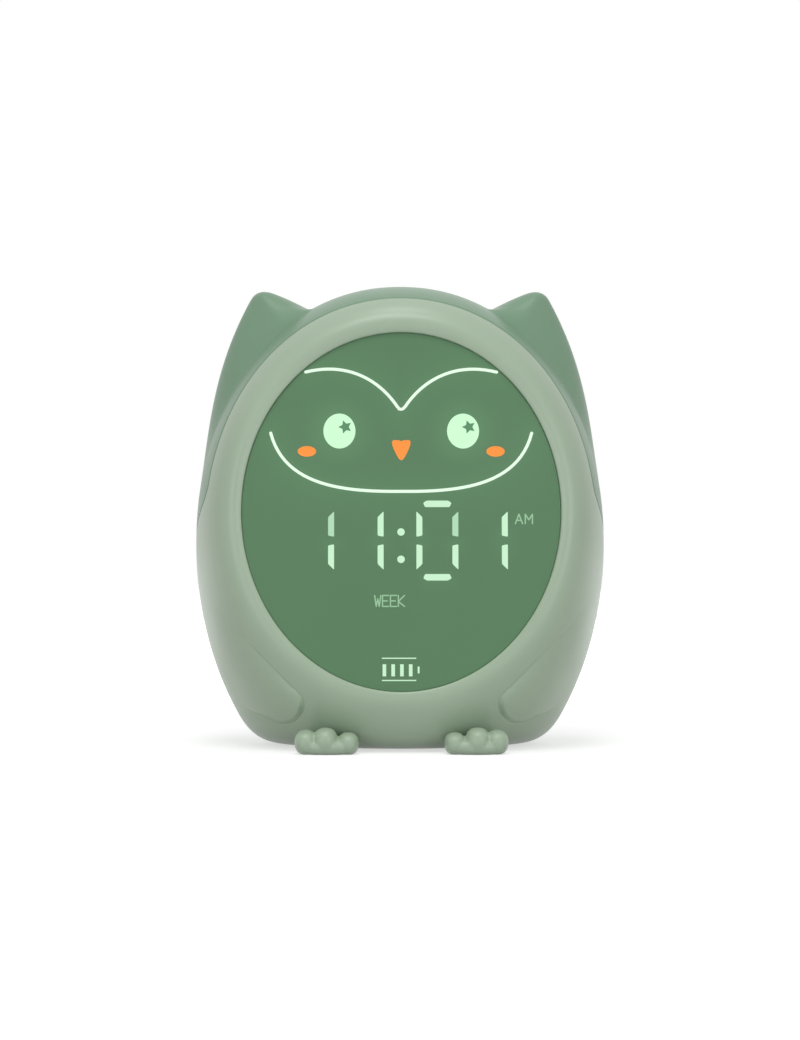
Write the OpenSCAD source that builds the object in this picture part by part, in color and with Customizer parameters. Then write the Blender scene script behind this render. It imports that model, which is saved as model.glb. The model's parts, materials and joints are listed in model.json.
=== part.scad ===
// Owl-shaped alarm clock with a night light. +Z is up, the face looks along -Y,
// and the origin is on the standing surface below the middle of the body.

/* [Body] */
// Greatest width across the sides
body_w = 123.6; // [118:0.2:130]
// Height of the crown over the standing surface
crown_z = 138.7; // [134:0.1:144]
// Height of the widest level
waist_z = 60.4; // [58:0.2:63]
// Distance of the widest upright section behind the middle
waist_y = 3.8; // [3:0.2:5]
// Reach of the round underside below the widest level, before it is cut flat
under_r = 84; // [80:0.5:88]
// Height of the flat underside over the standing surface
base_z = 0.5; // [0.3:0.1:1]
// Rounding between the sides and the flat underside
base_round = 8.5; // [7:0.5:10]
// Wall thickness of both shells
wall = 2.2; // [1.8:0.1:2.6]
// How far the crown runs straight forward before it turns into the rim
shoulder_pull = 14; // [11:0.5:17]
// How far the crown runs straight back before it turns into the rear
rear_pull = 22; // [18:0.5:25]

/* [Parting line] */
// Distance of the parting line in front of the middle, along the rim
seam_front = 20.5; // [19:0.5:22.5]
// Distance of the parting line behind the middle, at the underside
seam_rear = 20; // [19:0.5:22]
// Height at which the parting line leaves the rim and turns back
seam_high = 79; // [76:0.5:84]
// Height at which the parting line has come to the rear
seam_low = 49; // [44:0.5:52]
// Open line between the two shells
seam_gap = 0.3; // [0.2:0.05:0.4]

/* [Ears] */
// Height of an ear over the crown's curve
ear_h = 14.9; // [11:0.1:16]
// Direction of the ear tip from the middle of the widest level, over the horizontal
ear_at = 61; // [59:0.5:63]
// Direction at which the ear's outer edge leaves the side
ear_foot = 16.5; // [12:0.5:24]
// Turn from the ear tip to where its inner edge meets the crown
ear_inner = 8; // [7:0.1:9.5]
// Rounding of the ear tip
ear_round = 5.6; // [4:0.1:7]
// Distance of the ear's crest behind the middle
ear_y = 5; // [3:0.5:7]
// Distance from the ear's foot in front back to its crest
ear_front = 12; // [9:0.5:15]
// Distance from the ear's crest back to where it has sunk into the rear
ear_back = 27; // [22:1:32]

/* [Wings] */
// Height of the wing relief over the belly
wing_h = 1; // [0.6:0.1:1.6]
// Distance of the wing tip's centre from the middle plane
wing_tip_x = 34.8; // [32:0.1:37]
// Height of the wing tip's centre
wing_tip_z = 14.3; // [13:0.1:17]
// Radius of the wing tip
wing_tip_r = 5.8; // [4.5:0.1:7]
// Height of the wing's root on the side
wing_root_z = 31.5; // [29:0.5:35]
// Half width of the wing at its root
wing_root_r = 13.2; // [11:0.1:15]
// Width of the sloping edge around the wing
wing_edge = 3; // [2.5:0.5:6]

/* [Face opening] */
// Half width of the face opening
face_rx = 46.7; // [44:0.1:48]
// Half height of the face opening
face_rz = 52.7; // [50:0.1:54]
// Height of the face's centre
face_z = 70.6; // [69:0.1:72]
// Distance of the face's centre in front of the middle
face_y = 32.2; // [31.2:0.2:33.2]
// Backward tilt of the face
face_tilt = 5; // [3:0.5:7]
// How far the rim's curve reaches outwards around the opening
rim_out = 9; // [7:0.5:11]
// How far the rim's curve reaches forward of the opening
rim_rise = 5; // [3:0.5:7]
// Depth of the lens below the opening's edge
lens_set = 0.8; // [0.5:0.1:1.2]
// Thickness of the lens
lens_t = 2; // [1.5:0.1:2.5]
// Thickness of the foam tape that holds the lens
tape_t = 0.4; // [0.3:0.05:0.6]
// Width of the tape
tape_w = 3; // [2:0.1:3.4]
// Width of the ledge behind the lens
ledge_w = 4; // [3.5:0.1:5]
// Thickness of the ledge
ledge_t = 2; // [1.6:0.1:2.4]
// Clearance around the lens
lens_gap = 0.25; // [0.15:0.05:0.4]

/* [Display] */
// Thickness of the printed mask film
film_t = 0.3; // [0.2:0.05:0.4]
// Thickness of the diffuser sheet
diffuser_t = 0.8; // [0.6:0.1:1]
// Depth of the light box
light_box_t = 7.5; // [6:0.5:9]
// Wall left between the light box's cells
cell_wall = 1.2; // [0.8:0.1:1.6]
// Thickness of the circuit boards
board_t = 1.6; // [1.2:0.1:2]
// Thickness of a light-emitting diode
led_t = 0.8; // [0.6:0.1:1.2]
// Width of a light-emitting diode
led_w = 1.6; // [1.2:0.1:2]
// Direction of the display's screws from the face's middle
display_screw_at = 18; // [14:1:22]
// Height of a digit between the middles of its end segments
digit_h = 21.5; // [20:0.5:23]
// Width of a digit between the middles of its side segments
digit_w = 10.5; // [9:0.5:11.5]
// Distance between neighbouring digits
digit_step = 14.45; // [13.5:0.05:15]
// Width of a segment
segment_w = 1.9; // [1.6:0.1:2.2]
// Height of the digits' middle over the face's centre
digit_mid = -8.55; // [-10:0.05:-7]
// Width of the drawn face lines
line_w = 0.95; // [0.7:0.05:1.2]
// Distance of an eye from the middle
eye_x = 18.1; // [17:0.1:19]
// Height of the eyes over the face's centre
eye_z = 23.6; // [22:0.1:25]
// Half width of an eye
eye_rx = 4.7; // [4:0.1:5.2]
// Half height of an eye
eye_rz = 5.15; // [4.5:0.05:5.6]
// Distance of a cheek from the middle
cheek_x = 27.6; // [26.5:0.1:28.5]
// Height of the cheeks over the face's centre
cheek_z = 17.6; // [17:0.1:18.5]

/* [Back panel] */
// Half width of the back panel
panel_rx = 34; // [32:0.5:36]
// Half height of the back panel
panel_rz = 42; // [40:0.5:44]
// Height of the back panel's middle
panel_z = 61; // [59:0.5:63]
// Distance of the back panel's face behind the middle
panel_y = 40.8; // [39.8:0.2:41.8]
// Thickness of the back panel
panel_t = 2; // [1.6:0.1:2.4]
// Width of the ledge under the back panel
panel_ledge_w = 3; // [2.5:0.1:3.5]
// Clearance around the back panel
panel_gap = 0.3; // [0.2:0.05:0.4]
// How far the rear's curve reaches outwards around the panel
rear_out = 15; // [12:0.5:18]
// How far the rear's curve stays below the panel's face
rear_sink = 1.5; // [1:0.1:2.5]

/* [Keys] */
// Radius of a key
key_r = 4.2; // [3.6:0.1:4.6]
// Distance between neighbouring keys across the panel
key_pitch = 17; // [15:0.5:17.5]
// Distance of the upper row of keys below the panel's upper end
key_drop = 21; // [20:0.5:23]
// Distance between the two rows of keys
key_rise = 14; // [13:0.5:15]
// How far a key stands out of the panel
key_proud = 1.4; // [1:0.1:2]
// Travel of a key
key_travel = 0.5; // [0.3:0.05:0.6]
// Clearance around a key
key_gap = 0.3; // [0.2:0.05:0.4]
// Width of the flange that keeps a key behind the panel
key_flange_w = 1.2; // [0.8:0.1:1.4]
// Thickness of the key's flange
key_flange_t = 0.8; // [0.6:0.1:1]
// Height of a key switch over its board
switch_t = 3.2; // [2.8:0.1:3.6]
// Width of a key switch
switch_w = 6; // [5:0.1:6.4]
// Radius of a key switch's plunger
plunger_r = 1.7; // [1.4:0.1:2]

/* [Power switch and socket] */
// Distance of the power switch and of the socket from the middle
port_x = 14; // [13:0.5:15]
// Travel of the power switch
slider_travel = 3; // [2:0.1:3.4]
// Width of the slider's nib
nib_w = 2.4; // [2:0.1:3]
// Height of the slider's nib
nib_h = 2; // [1.6:0.1:2.4]
// Width of the charging socket's mouth
socket_w = 8.4; // [8:0.1:8.8]
// Height of the charging socket's mouth
socket_h = 2.6; // [2.4:0.1:3]
// Metal thickness of the charging socket
socket_wall = 0.3; // [0.2:0.05:0.4]

/* [Speaker] */
// Radius of the speaker
speaker_r = 12; // [11:0.5:12.5]
// Clearance between the speaker and the ledge below it
speaker_gap = 0.5; // [0.3:0.1:1]
// Depth of the speaker from its rim to the back of its magnet
speaker_t = 9.5; // [8:0.5:11]
// Radius of the magnet
magnet_r = 8; // [7:0.5:9]
// Thickness of the magnet
magnet_t = 4; // [3:0.5:5]
// Travel of the cone to each side
cone_travel = 0.5; // [0.3:0.05:0.6]
// Thickness of the speaker's gasket
gasket_t = 0.6; // [0.5:0.1:1]
// Radius of a hole in the speaker grille
grille_r = 0.9; // [0.7:0.05:1.1]
// Distance between neighbouring grille holes
grille_pitch = 4; // [3.4:0.1:4.4]

/* [Battery] */
// Radius of the battery cell
cell_r = 9.1; // [8.5:0.1:9.3]
// Length of the battery cell
cell_l = 65; // [60:1:66]
// Distance of the cell behind the middle
cell_y = 4.8; // [4:0.2:5.6]
// Wall thickness of the cradle
cradle_wall = 1.5; // [1.2:0.1:2]

/* [Fasteners] */
// Radius of a screw's shank
screw_r = 1.15; // [1:0.05:1.3]
// Radius of a screw's head
head_r = 2.4; // [2.1:0.1:2.6]
// Height of a screw's head
head_t = 1.5; // [1.2:0.1:1.8]
// Radius of a screw boss
boss_r = 3; // [2.8:0.1:3.2]
// Distance of the case screws in from the widest side
case_in = 21.5; // [20.5:0.5:22]
// Height of the upper case screws
case_top_z = 114; // [112:0.5:115]
// Height of the lower case screws
case_low_z = 22; // [21:0.5:23]
// Distance in front of the middle at which the bosses of the upper case screws end
case_top_y = 6; // [4:0.5:8]

/* [Feet] */
// Distance of a foot from the middle plane
foot_x = 21.7; // [20:0.1:23]
// Width of a foot
foot_w = 19; // [17:0.5:20]
// Height of the toes
toe_h = 7.2; // [6:0.2:8]
// Distance of the toe tips in front of the middle
toe_y = 42.2; // [41.4:0.2:43.4]
// Length of a foot's sole
sole_l = 17; // [14:0.5:19]
// Thickness of the sole, where the body leaves room for it
sole_t = 2.5; // [2:0.1:3]
// Radius of a rear pad
pad_r = 4.5; // [4:0.5:5]
// Depth to which a rear pad is let into the underside
pad_sink = 1; // [0.6:0.1:1.2]
// Distance of the rear pads behind the middle
pad_y = 14.3; // [13:0.5:15]

/* [Hidden] */
$fn = 48;

SAGE = "#a3b89e";
DEEP_SAGE = "#7b9c7e";
LENS_GREEN = "#63895f";
PALE = "#e6f5e4";
BOARD_GREEN = "#1f5b3a";
STEEL = "#b9bcc0";
DARK = "#2c2f31";
RUBBER = "#8fa58c";
COPPER = "#c98b4b";

cols = 120;        // points around the body
front_rows = 13;   // rings of points on the front shell's outside
rear_rows = 17;    // rings of points on the rear shell's outside
inner_rows = 8;    // rings of points on each shell's inside
core_sink = 0.9;   // depth in the wall at which bosses end
slip = 0.05;       // radial clearance of a screw in its bore
seat = 0.1;        // play between stacked pieces
ear_hollow = 0.6;  // share of the ear's height that the hollow follows
ear_front_power = 1.6;  // how much the ear's front steepens towards its foot

// ---- curves and the body's surface ----

function power(c, e) = sign(c) * pow(abs(c), e);
function clamp01(t) = max(0, min(1, t));
function smoothstep(t) = let (s = clamp01(t)) s * s * (3 - 2 * s);
function smax(a, b, k) = max(a, b) + pow(max(k - abs(a - b), 0), 2) / (4 * k);
function smin(a, b, k) = -smax(-a, -b, k);
function bezier(p, t) = pow(1 - t, 3) * p[0] + 3 * pow(1 - t, 2) * t * p[1]
    + 3 * (1 - t) * t * t * p[2] + pow(t, 3) * p[3];

crown_power = 2.1;
function waist_point(u) =
    let (up = sin(u) > 0, e = up ? 2 / crown_power : 1, r = up ? crown_z - waist_z : under_r)
    [body_w / 2 * power(cos(u), e), waist_y, waist_z + r * power(sin(u), e)];

// A point in the face's tilted plane, e outside the opening's edge and h in front of it
function face_point(u, e, h) = on_face((face_rx + e) * cos(u), (face_rz + e) * sin(u), h);
function on_face(x, v, h) = [x, -face_y + v * sin(face_tilt) - h * cos(face_tilt),
    face_z + v * cos(face_tilt) + h * sin(face_tilt)];
function panel_point(u, e, h) = [(panel_rx + e) * cos(u), panel_y + h, panel_z + (panel_rz + e) * sin(u)];

function seam_y(z) = -seam_front + (seam_front + seam_rear) * smoothstep((seam_high - z) / (seam_high - seam_low));
function seam_slope(z) = seam_y(z - 0.5) - seam_y(z + 0.5);

function ear_profile(a) =
    let (
        outer = a > ear_foot ? ear_h * pow((a - ear_foot) / (ear_at - ear_foot), 1.8) : 0,
        inner = (ear_at + ear_inner - a) * ear_h / ear_inner
    ) max(0, smin(outer, inner, ear_round));
function ear_depth(y) = y < ear_y
    ? 1 - pow(clamp01((ear_y - y) / ear_front), ear_front_power)
    : smoothstep((ear_y - y) / ear_back + 1);

wing_root_x = body_w / 2;
wing_fade_y = waist_y - 12;
function wing_share(x, z) =
    let (
        tip = [wing_tip_x, wing_tip_z],
        span = [wing_root_x, wing_root_z] - tip,
        at = [abs(x), z] - tip,
        t = clamp01(at * span / (span * span)),
        r = wing_tip_r + (wing_root_r - wing_tip_r) * t
    ) smoothstep((r - norm(at - span * t)) / wing_edge + 0.5);

// The body's surface: w runs from -1 at the face opening through 0 at the widest level to 1 at the back panel
function skin(u, w, inside = false) =
    let (
        edge = waist_point(u),
        handles = w < 0
            ? [edge, edge - [0, shoulder_pull, 0], face_point(u, rim_out, rim_rise), face_point(u, 0, 0)]
            : [edge, edge + [0, rear_pull, 0], panel_point(u, rear_out, -rear_sink), panel_point(u, 0, 0)],
        p = bezier(handles, abs(w)),
        side = p.x < 0 ? -1 : 1,
        a = atan2(p.z - waist_z, abs(p.x)),
        ear = ear_profile(a) * ear_depth(p.y) * (inside ? ear_hollow : 1),
        wing = inside || w > 0 ? 0 : wing_h * wing_share(p.x, p.z) * smoothstep((wing_fade_y - p.y) / 16),
        q = p + ear * [side * cos(a), 0, sin(a)] + wing * [side * 0.55, -0.82, -0.15]
    ) [q.x, q.y, smax(q.z, base_z, base_round)];

// The surface moved inwards by d
function skin_inside(u, w, d) =
    let (
        along = skin(u + 1, w, true) - skin(u - 1, w, true),
        across = skin(u, min(1, w + 0.02), true) - skin(u, max(-1, w - 0.02), true),
        n = cross(along, across)
    ) skin(u, w, true) + d * n / norm(n);

// Where the surface crosses the parting line moved back by shift, measured square to the line
function seam_w(u, shift, low = -0.9, high = 0.9, steps = 14) =
    steps == 0 ? (low + high) / 2
    : let (middle = (low + high) / 2, p = skin(u, middle))
        p.y < to_seam(p, shift).y ? seam_w(u, shift, middle, high, steps - 1)
        : seam_w(u, shift, low, middle, steps - 1);
function to_seam(p, shift) = [p.x, seam_y(p.z) + shift * norm([1, seam_slope(p.z)]), p.z];

angles = [for (i = [0 : cols - 1]) 360 * (i + 0.5) / cols - 90];
front_seam = [for (u = angles) seam_w(u, -seam_gap / 2)];
rear_seam = [for (u = angles) seam_w(u, seam_gap / 2)];

function strip(j, k, n) = [for (i = [0 : n - 1]) let (m = (i + 1) % n)
    each [[j * n + i, j * n + m, k * n + m], [j * n + i, k * n + m, k * n + i]]];

// A closed tube of rings: the last ring joins the first
module ring_solid(rings) {
    rows = len(rings);
    n = len(rings[0]);
    polyhedron(points = [for (ring = rings) each ring],
        faces = [for (j = [0 : rows - 1]) each strip(j, (j + 1) % rows, n)]);
}

// A closed body of rings with a point at each end
module capped_solid(rings, first, last) {
    rows = len(rings);
    n = len(rings[0]);
    polyhedron(points = concat([for (ring = rings) each ring], [first, last]),
        faces = concat([for (j = [0 : rows - 2]) each strip(j, j + 1, n)],
            [for (i = [0 : n - 1]) [rows * n, (i + 1) % n, i]],
            [for (i = [0 : n - 1]) [(rows - 1) * n + i, (rows - 1) * n + (i + 1) % n, rows * n + 1]]));
}

// The body's outer form, sunk by depth, which trims bosses
module body_core(depth, n = 48, rows = 14) {
    capped_solid([for (j = [0 : rows]) [for (i = [0 : n - 1]) skin_inside(360 * (i + 0.5) / n - 90, -1 + 2 * j / rows, depth)]],
        on_face(0, 0, -depth), [0, panel_y - depth, panel_z]);
}

// The lower part of the front shell's outer form, out by a clearance and on the same rings, which trims the feet
module front_core(clear) {
    low_cols = [for (i = [0 : cols - 1]) if (sin(angles[i]) < -0.5) i];
    capped_solid([for (j = [0 : front_rows]) [for (i = low_cols) skin_inside(angles[i], front_w(i, j), -clear)]],
        on_face(0, -0.75 * face_rz, clear), [0, seam_rear, under_r / 8]);
}

// ---- frames of reference ----

module in_face_frame() {
    translate([0, -face_y, face_z])
        rotate([-face_tilt, 0, 0])
            children();
}

// A flat piece parallel to the face, from depth y to y + t behind the opening's edge
module face_plate(y, t) {
    in_face_frame()
        translate([0, y + t, 0])
            rotate([90, 0, 0])
                linear_extrude(t)
                    children();
}

module oval(rx, rz) {
    scale([1, rz / rx])
        circle(rx, $fn = 96);
}

// A flat upright piece from y to y + t
module upright_plate(y, t) {
    translate([0, y + t, 0])
        rotate([90, 0, 0])
            linear_extrude(t)
                children();
}

module rod(r, y0, y1, x = 0, z = 0) {
    translate([x, y1, z])
        rotate([90, 0, 0])
            cylinder(r = r, h = y1 - y0);
}

module block(low, high) {
    translate(low)
        cube(high - low);
}

module rounded_box(low, high, r) {
    for (dx = [0, 1])
        block([low.x + r * dx, low.y, low.z + r * (1 - dx)], [high.x - r * dx, high.y, high.z - r * (1 - dx)]);
    for (x = [low.x + r, high.x - r], z = [low.z + r, high.z - r])
        rod(r, low.y, high.y, x, z);
}

// ---- depths behind the face opening's edge ----

lens_y = lens_set;
tape_y = lens_y + lens_t;
ledge_y = tape_y + tape_t;
box_y = ledge_y + ledge_t + seat;
display_y = box_y + light_box_t;
window_rx = face_rx - ledge_w;
window_rz = face_rz - ledge_w;

// ---- places on the rear ----

key_low_z = panel_z + panel_rz - key_drop - key_rise;
speaker_z = panel_z - panel_rz + panel_ledge_w + speaker_gap + speaker_r;
port_z = (speaker_z + speaker_r + key_low_z - key_r - key_flange_w) / 2;
panel_in = panel_y - panel_t;
flange_y = panel_in - seat;
plunger_top = flange_y - key_flange_t;
switch_top = plunger_top - key_travel - 0.2;
board_back = switch_top - switch_t;
board_front = board_back - board_t;
board_low = speaker_z + speaker_r + 1.5;
board_high = key_low_z + key_rise + switch_w / 2 + 1.5;
board_hx = key_pitch + 5;
posts = [[-key_pitch / 2, key_low_z + key_rise / 2], [key_pitch / 2, key_low_z + key_rise / 2],
    [0, board_low + boss_r]];
post_r = 2.3;

// ---- places of the screws ----

case_x = body_w / 2 - case_in;
case_top_x = case_x - 4.5;
case_screws_at = [for (side = [-1, 1]) each [[side * case_x, case_low_z], [side * case_top_x, case_top_z]]];
column_r = head_r + 1.6;
head_seat = 2.5;    // floor under a case screw's head
function case_y(z) = max(seam_y(z), -case_top_y);    // where a front boss ends and a rear column begins
display_bosses = [for (a = [display_screw_at, 180 - display_screw_at, 180 + display_screw_at, -display_screw_at])
    [(face_rx + boss_r) * cos(a), (face_rz + boss_r) * sin(a)]];
panel_screw_e = panel_ledge_w / 2 + 2.2;
panel_screws_at = [for (a = [62, 118, 230, 310])
    [(panel_rx - panel_screw_e) * cos(a), panel_z + (panel_rz - panel_screw_e) * sin(a)]];

floor_z = base_z + wall;
cradle_hx = cell_l / 2 + cradle_wall + 0.3;
cradle_hy = cell_r + 0.3 + cradle_wall;
tab_x = 24;
tab_y = cell_y - cradle_hy - boss_r;
tab_t = cradle_wall;

// The cradle stands on the highest part of the floor below it
cradle_z = seat + max([for (u = [-150 : 5 : -30], w = [-0.4 : 0.1 : 0.4])
    let (p = skin_inside(u, w, wall))
    if (abs(p.x) < cradle_hx + 1.5 && abs(p.y - cell_y) < cradle_hy + 1.5) p.z]);
cell_z = cradle_z + cradle_wall + cell_r;
tab_z = cradle_z + cradle_wall + 2;

// ---- casing ----

// How far from the opening to the parting line ring j of the front shell lies in column i
function front_w(i, j) = -1 + (front_seam[i] + 1) * pow(j / front_rows, 1.3);

// Rings of the front shell: outside from the opening to the parting line, inside back to the lens ledge
function front_rings() =
    let (ledge_back = -(ledge_y + ledge_t))
    concat(
        [for (j = [0 : front_rows]) [for (i = [0 : cols - 1])
            let (p = skin(angles[i], front_w(i, j)))
            j == front_rows ? to_seam(p, -seam_gap / 2) : p]],
        [for (j = [0 : inner_rows]) [for (i = [0 : cols - 1])
            let (w = front_seam[i] + (-0.84 - front_seam[i]) * j / inner_rows,
                p = skin_inside(angles[i], w, wall))
            j == 0 ? to_seam(p, -seam_gap / 2) : p]],
        [for (eh = [[2, ledge_back], [-ledge_w, ledge_back], [-ledge_w, -ledge_y], [0, -ledge_y]])
            [for (u = angles) face_point(u, eh[0], eh[1])]]
    );

module front_shell() {
    color(SAGE)
        difference() {
            union() {
                ring_solid(front_rings());
                intersection() {
                    body_core(core_sink);
                    union() {
                        for (p = case_screws_at)
                            rod(boss_r, -face_y - 20, seam_y(p.y) - seam_gap, p.x, p.y);
                        in_face_frame()
                            for (p = display_bosses)
                                rod(boss_r, ledge_y + ledge_t / 2, display_y, p.x, p.y);
                        for (x = [-tab_x, tab_x])
                            translate([x, tab_y, 0])
                                cylinder(r = boss_r, h = tab_z);
                    }
                }
                intersection() {
                    body_core(wall + seam_gap);
                    for (p = case_screws_at)
                        rod(boss_r, -face_y - 20, case_y(p.y), p.x, p.y);
                }
            }
            for (p = case_screws_at)
                rod(screw_r + slip, case_y(p.y) - 9, case_y(p.y) + 1, p.x, p.y);
            in_face_frame()
                for (p = display_bosses)
                    rod(screw_r + slip, display_y - 6, display_y + 1, p.x, p.y);
            for (x = [-tab_x, tab_x])
                translate([x, tab_y, base_z + 1])
                    cylinder(r = screw_r + slip, h = 20);
            for (x = [-foot_x, foot_x]) {
                translate([x, peg_y, 0])
                    cylinder(r = peg_r + slip, h = 2 * floor_z);
                translate([x, pad_y, 0])
                    cylinder(r = pad_r + slip, h = base_z + pad_sink);
            }
        }
}

function rear_rings() = concat(
    [for (j = [0 : rear_rows]) [for (i = [0 : cols - 1])
        let (w = rear_seam[i] + (1 - rear_seam[i]) * j / rear_rows, p = skin(angles[i], w))
        j == 0 ? to_seam(p, seam_gap / 2) : p]],
    [for (eh = [[0, -panel_t], [-panel_ledge_w, -panel_t], [-panel_ledge_w, -panel_t - ledge_t],
        [2, -panel_t - ledge_t]])
        [for (u = angles) panel_point(u, eh[0], eh[1])]],
    [for (j = [0 : inner_rows]) [for (i = [0 : cols - 1])
        let (w = 0.9 + (rear_seam[i] - 0.9) * j / inner_rows, p = skin_inside(angles[i], w, wall))
        j == inner_rows ? to_seam(p, seam_gap / 2) : p]]
);

module rear_shell() {
    color(DEEP_SAGE)
        difference() {
            union() {
                ring_solid(rear_rings());
                intersection() {
                    body_core(core_sink);
                    union() {
                        for (p = case_screws_at)
                            rod(column_r, case_y(p.y), panel_y + 20, p.x, p.y);
                        for (p = panel_screws_at)
                            rod(boss_r, panel_in - 7, panel_in, p.x, p.y);
                    }
                }
            }
            for (p = case_screws_at) {
                rod(head_r + 0.3, case_y(p.y) + head_seat, panel_y + 20, p.x, p.y);
                rod(screw_r + 0.3, case_y(p.y) - 1, panel_y, p.x, p.y);
            }
            for (p = panel_screws_at)
                rod(screw_r + slip, panel_in - 6, panel_in + 1, p.x, p.y);
        }
}

module back_panel() {
    color(SAGE)
        difference() {
            union() {
                upright_plate(panel_in, panel_t)
                    translate([0, panel_z])
                        oval(panel_rx - panel_gap, panel_rz - panel_gap);
                for (p = posts)
                    rod(post_r, board_back, panel_in, p.x, p.y);
            }
            for (p = posts)
                rod(screw_r + slip, board_back - 1, panel_in, p.x, p.y);
            for (p = key_places)
                rod(key_r + key_gap, panel_in - 1, panel_y + 1, p.x, p.y);
            for (p = panel_screws_at) {
                rod(screw_r + 0.2, panel_in - 1, panel_y + 1, p.x, p.y);
                rod(head_r + 0.2, panel_y - head_t / 2, panel_y + 1, p.x, p.y);
            }
            for (p = grille_holes)
                rod(grille_r, panel_in - 1, panel_y + 1, p.x, speaker_z + p.y);
            slot([-port_x, port_z], nib_w + slider_travel + 1.4, nib_h + 0.8);
            slot([port_x, port_z], socket_w + 2 * socket_wall + 0.4, socket_h + 2 * socket_wall + 0.4);
        }
}

// A slot with round ends through the back panel
module slot(at, w, h) {
    for (dx = [-1, 1])
        rod(h / 2, panel_in - 1, panel_y + 1, at.x + dx * (w - h) / 2, at.y);
    block([at.x - (w - h) / 2, panel_in - 1, at.y - h / 2], [at.x + (w - h) / 2, panel_y + 1, at.y + h / 2]);
}

grille_holes = [for (ring = [0 : 2], k = [0 : max(0, 6 * ring - 1)])
    let (r = ring * grille_pitch, a = ring == 0 ? 0 : 60 * k / ring) [r * cos(a), r * sin(a)]];

// ---- face ----

module face_lens() {
    color(LENS_GREEN)
        face_plate(lens_y, lens_t)
            oval(face_rx - lens_gap, face_rz - lens_gap);
}

module lens_tape() {
    color(DARK)
        face_plate(tape_y, tape_t)
            difference() {
                oval(face_rx - lens_gap - 0.2, face_rz - lens_gap - 0.2);
                oval(face_rx - lens_gap - 0.2 - tape_w, face_rz - lens_gap - 0.2 - tape_w);
            }
}

// One segment, lying along X, with both ends cut at a slant
module segment(l) {
    cut = segment_w / 2;
    polygon([[-l / 2, -cut], [l / 2, -cut], [l / 2 - cut, cut], [-l / 2 + cut, cut]]);
}

module digit(x, sides, ends) {
    bar = digit_h / 2 - segment_w - 1.4;
    for (side = sides, half = [-1, 1])
        translate([x + side * digit_w / 2, digit_mid + half * digit_h / 4])
            rotate(side > 0 ? 90 : -90)
                segment(bar);
    if (ends)
        for (half = [-1, 1])
            translate([x, digit_mid + half * digit_h / 2])
                rotate(half > 0 ? 180 : 0)
                    segment(digit_w - segment_w);
}

pair_step = digit_step * 1.51;
digits_at = [-pair_step / 2 - digit_step, -pair_step / 2, pair_step / 2, pair_step / 2 + digit_step];
colon_at = [0.3, digit_mid - 1.5];
colon_rise = 4;

module digit_windows() {
    for (k = [0, 1, 3])
        digit(digits_at[k], [1], false);
    digit(digits_at[2], [-1, 1], true);
    for (half = [-1, 1])
        translate(colon_at + [0, half * colon_rise])
            circle(segment_w * 0.58);
}

// A band of the width w along a list of points
module band(points, w) {
    count = len(points);
    function normal_at(i) =
        let (d = points[min(i + 1, count - 1)] - points[max(i - 1, 0)]) [-d.y, d.x] / norm(d) * w / 2;
    polygon(concat([for (i = [0 : count - 1]) points[i] + normal_at(i)],
        [for (i = [count - 1 : -1 : 0]) points[i] - normal_at(i)]));
}

brow = [[0, 29.4], [4.5, 37], [14, 44.5], [28, 41]];
smile = [[0, 5.7], [18, 5], [34, 7], [38.2, 23]];
cheek_rx = 2.65;
function curve(handles, steps = 12) = [for (k = [0 : steps]) bezier(handles, k / steps)];

module face_windows() {
    for (side = [0, 1])
        mirror([side, 0])
            for (handles = [brow, smile])
                band(curve(handles), line_w);
    for (side = [-1, 1]) {
        translate([side * eye_x, eye_z])
            oval(eye_rx, eye_rz);
        translate([side * cheek_x, cheek_z])
            oval(cheek_rx, 1.5);
    }
    polygon([[-2.65, 20.9], [0, 20.3], [2.65, 20.9], [1.9, 17.6], [0, 14.9], [-1.9, 17.6]]);
}

module battery_windows() {
    for (z = [-42.9, -49.75])
        translate([-5.3, z - 0.2])
            square([10, 0.4]);
    for (k = [0 : 3])
        translate([-5.3 + 2.56 * k, -48.2])
            square([1.3, 3.6]);
    translate([5.1, -47.3])
        square([0.6, 2.1]);
}

module mask_film() {
    color(LENS_GREEN)
        face_plate(tape_y, film_t)
            difference() {
                oval(window_rx - 0.2, window_rz - 0.2);
                face_windows();
                digit_windows();
                battery_windows();
            }
}

module diffuser_sheet() {
    color(PALE)
        face_plate(box_y - diffuser_t, diffuser_t)
            oval(window_rx - 0.3, window_rz - 0.3);
}

// Cells in the light box: one behind each lit shape
module light_cells() {
    half_cell = digit_h / 2 + segment_w / 2 + 0.3;
    for (side = [-1, 1]) {
        translate([side * eye_x, eye_z])
            circle(eye_rz + 1);
        translate([side * cheek_x, cheek_z])
            circle(cheek_rx + 1);
    }
    for (side = [0, 1])
        mirror([side, 0])
            for (handles = [brow, smile])
                band(curve(handles), line_w + 2);
    for (x = digits_at, half = [0, 1])
        translate([x - (digit_step - cell_wall) / 2, digit_mid + (half == 0 ? -half_cell : cell_wall / 2)])
            square([digit_step - cell_wall, half_cell - cell_wall / 2]);
    translate(colon_at - [segment_w, colon_rise + segment_w])
        square([2 * segment_w, 2 * (colon_rise + segment_w)]);
    translate([-7, -51])
        square([14, 9.5]);
    translate([-5, 12])
        square([10, 10]);
}

module light_box() {
    color("white")
        face_plate(box_y, light_box_t)
            difference() {
                oval(face_rx - 1, face_rz - 1);
                light_cells();
            }
}

module display_board() {
    color(BOARD_GREEN)
        face_plate(display_y, board_t)
            difference() {
                union() {
                    oval(face_rx - 1, face_rz - 1);
                    for (p = display_bosses)
                        lug(p);
                }
                for (p = display_bosses)
                    translate(p)
                        circle(screw_r + 0.2);
            }
}

// A lug that reaches from the board's edge to the screw at p
module lug(p) {
    translate(p) {
        circle(boss_r);
        rotate(atan2(p.y, p.x))
            translate([-2 * boss_r, -boss_r])
                square([2 * boss_r, 2 * boss_r]);
    }
}

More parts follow.
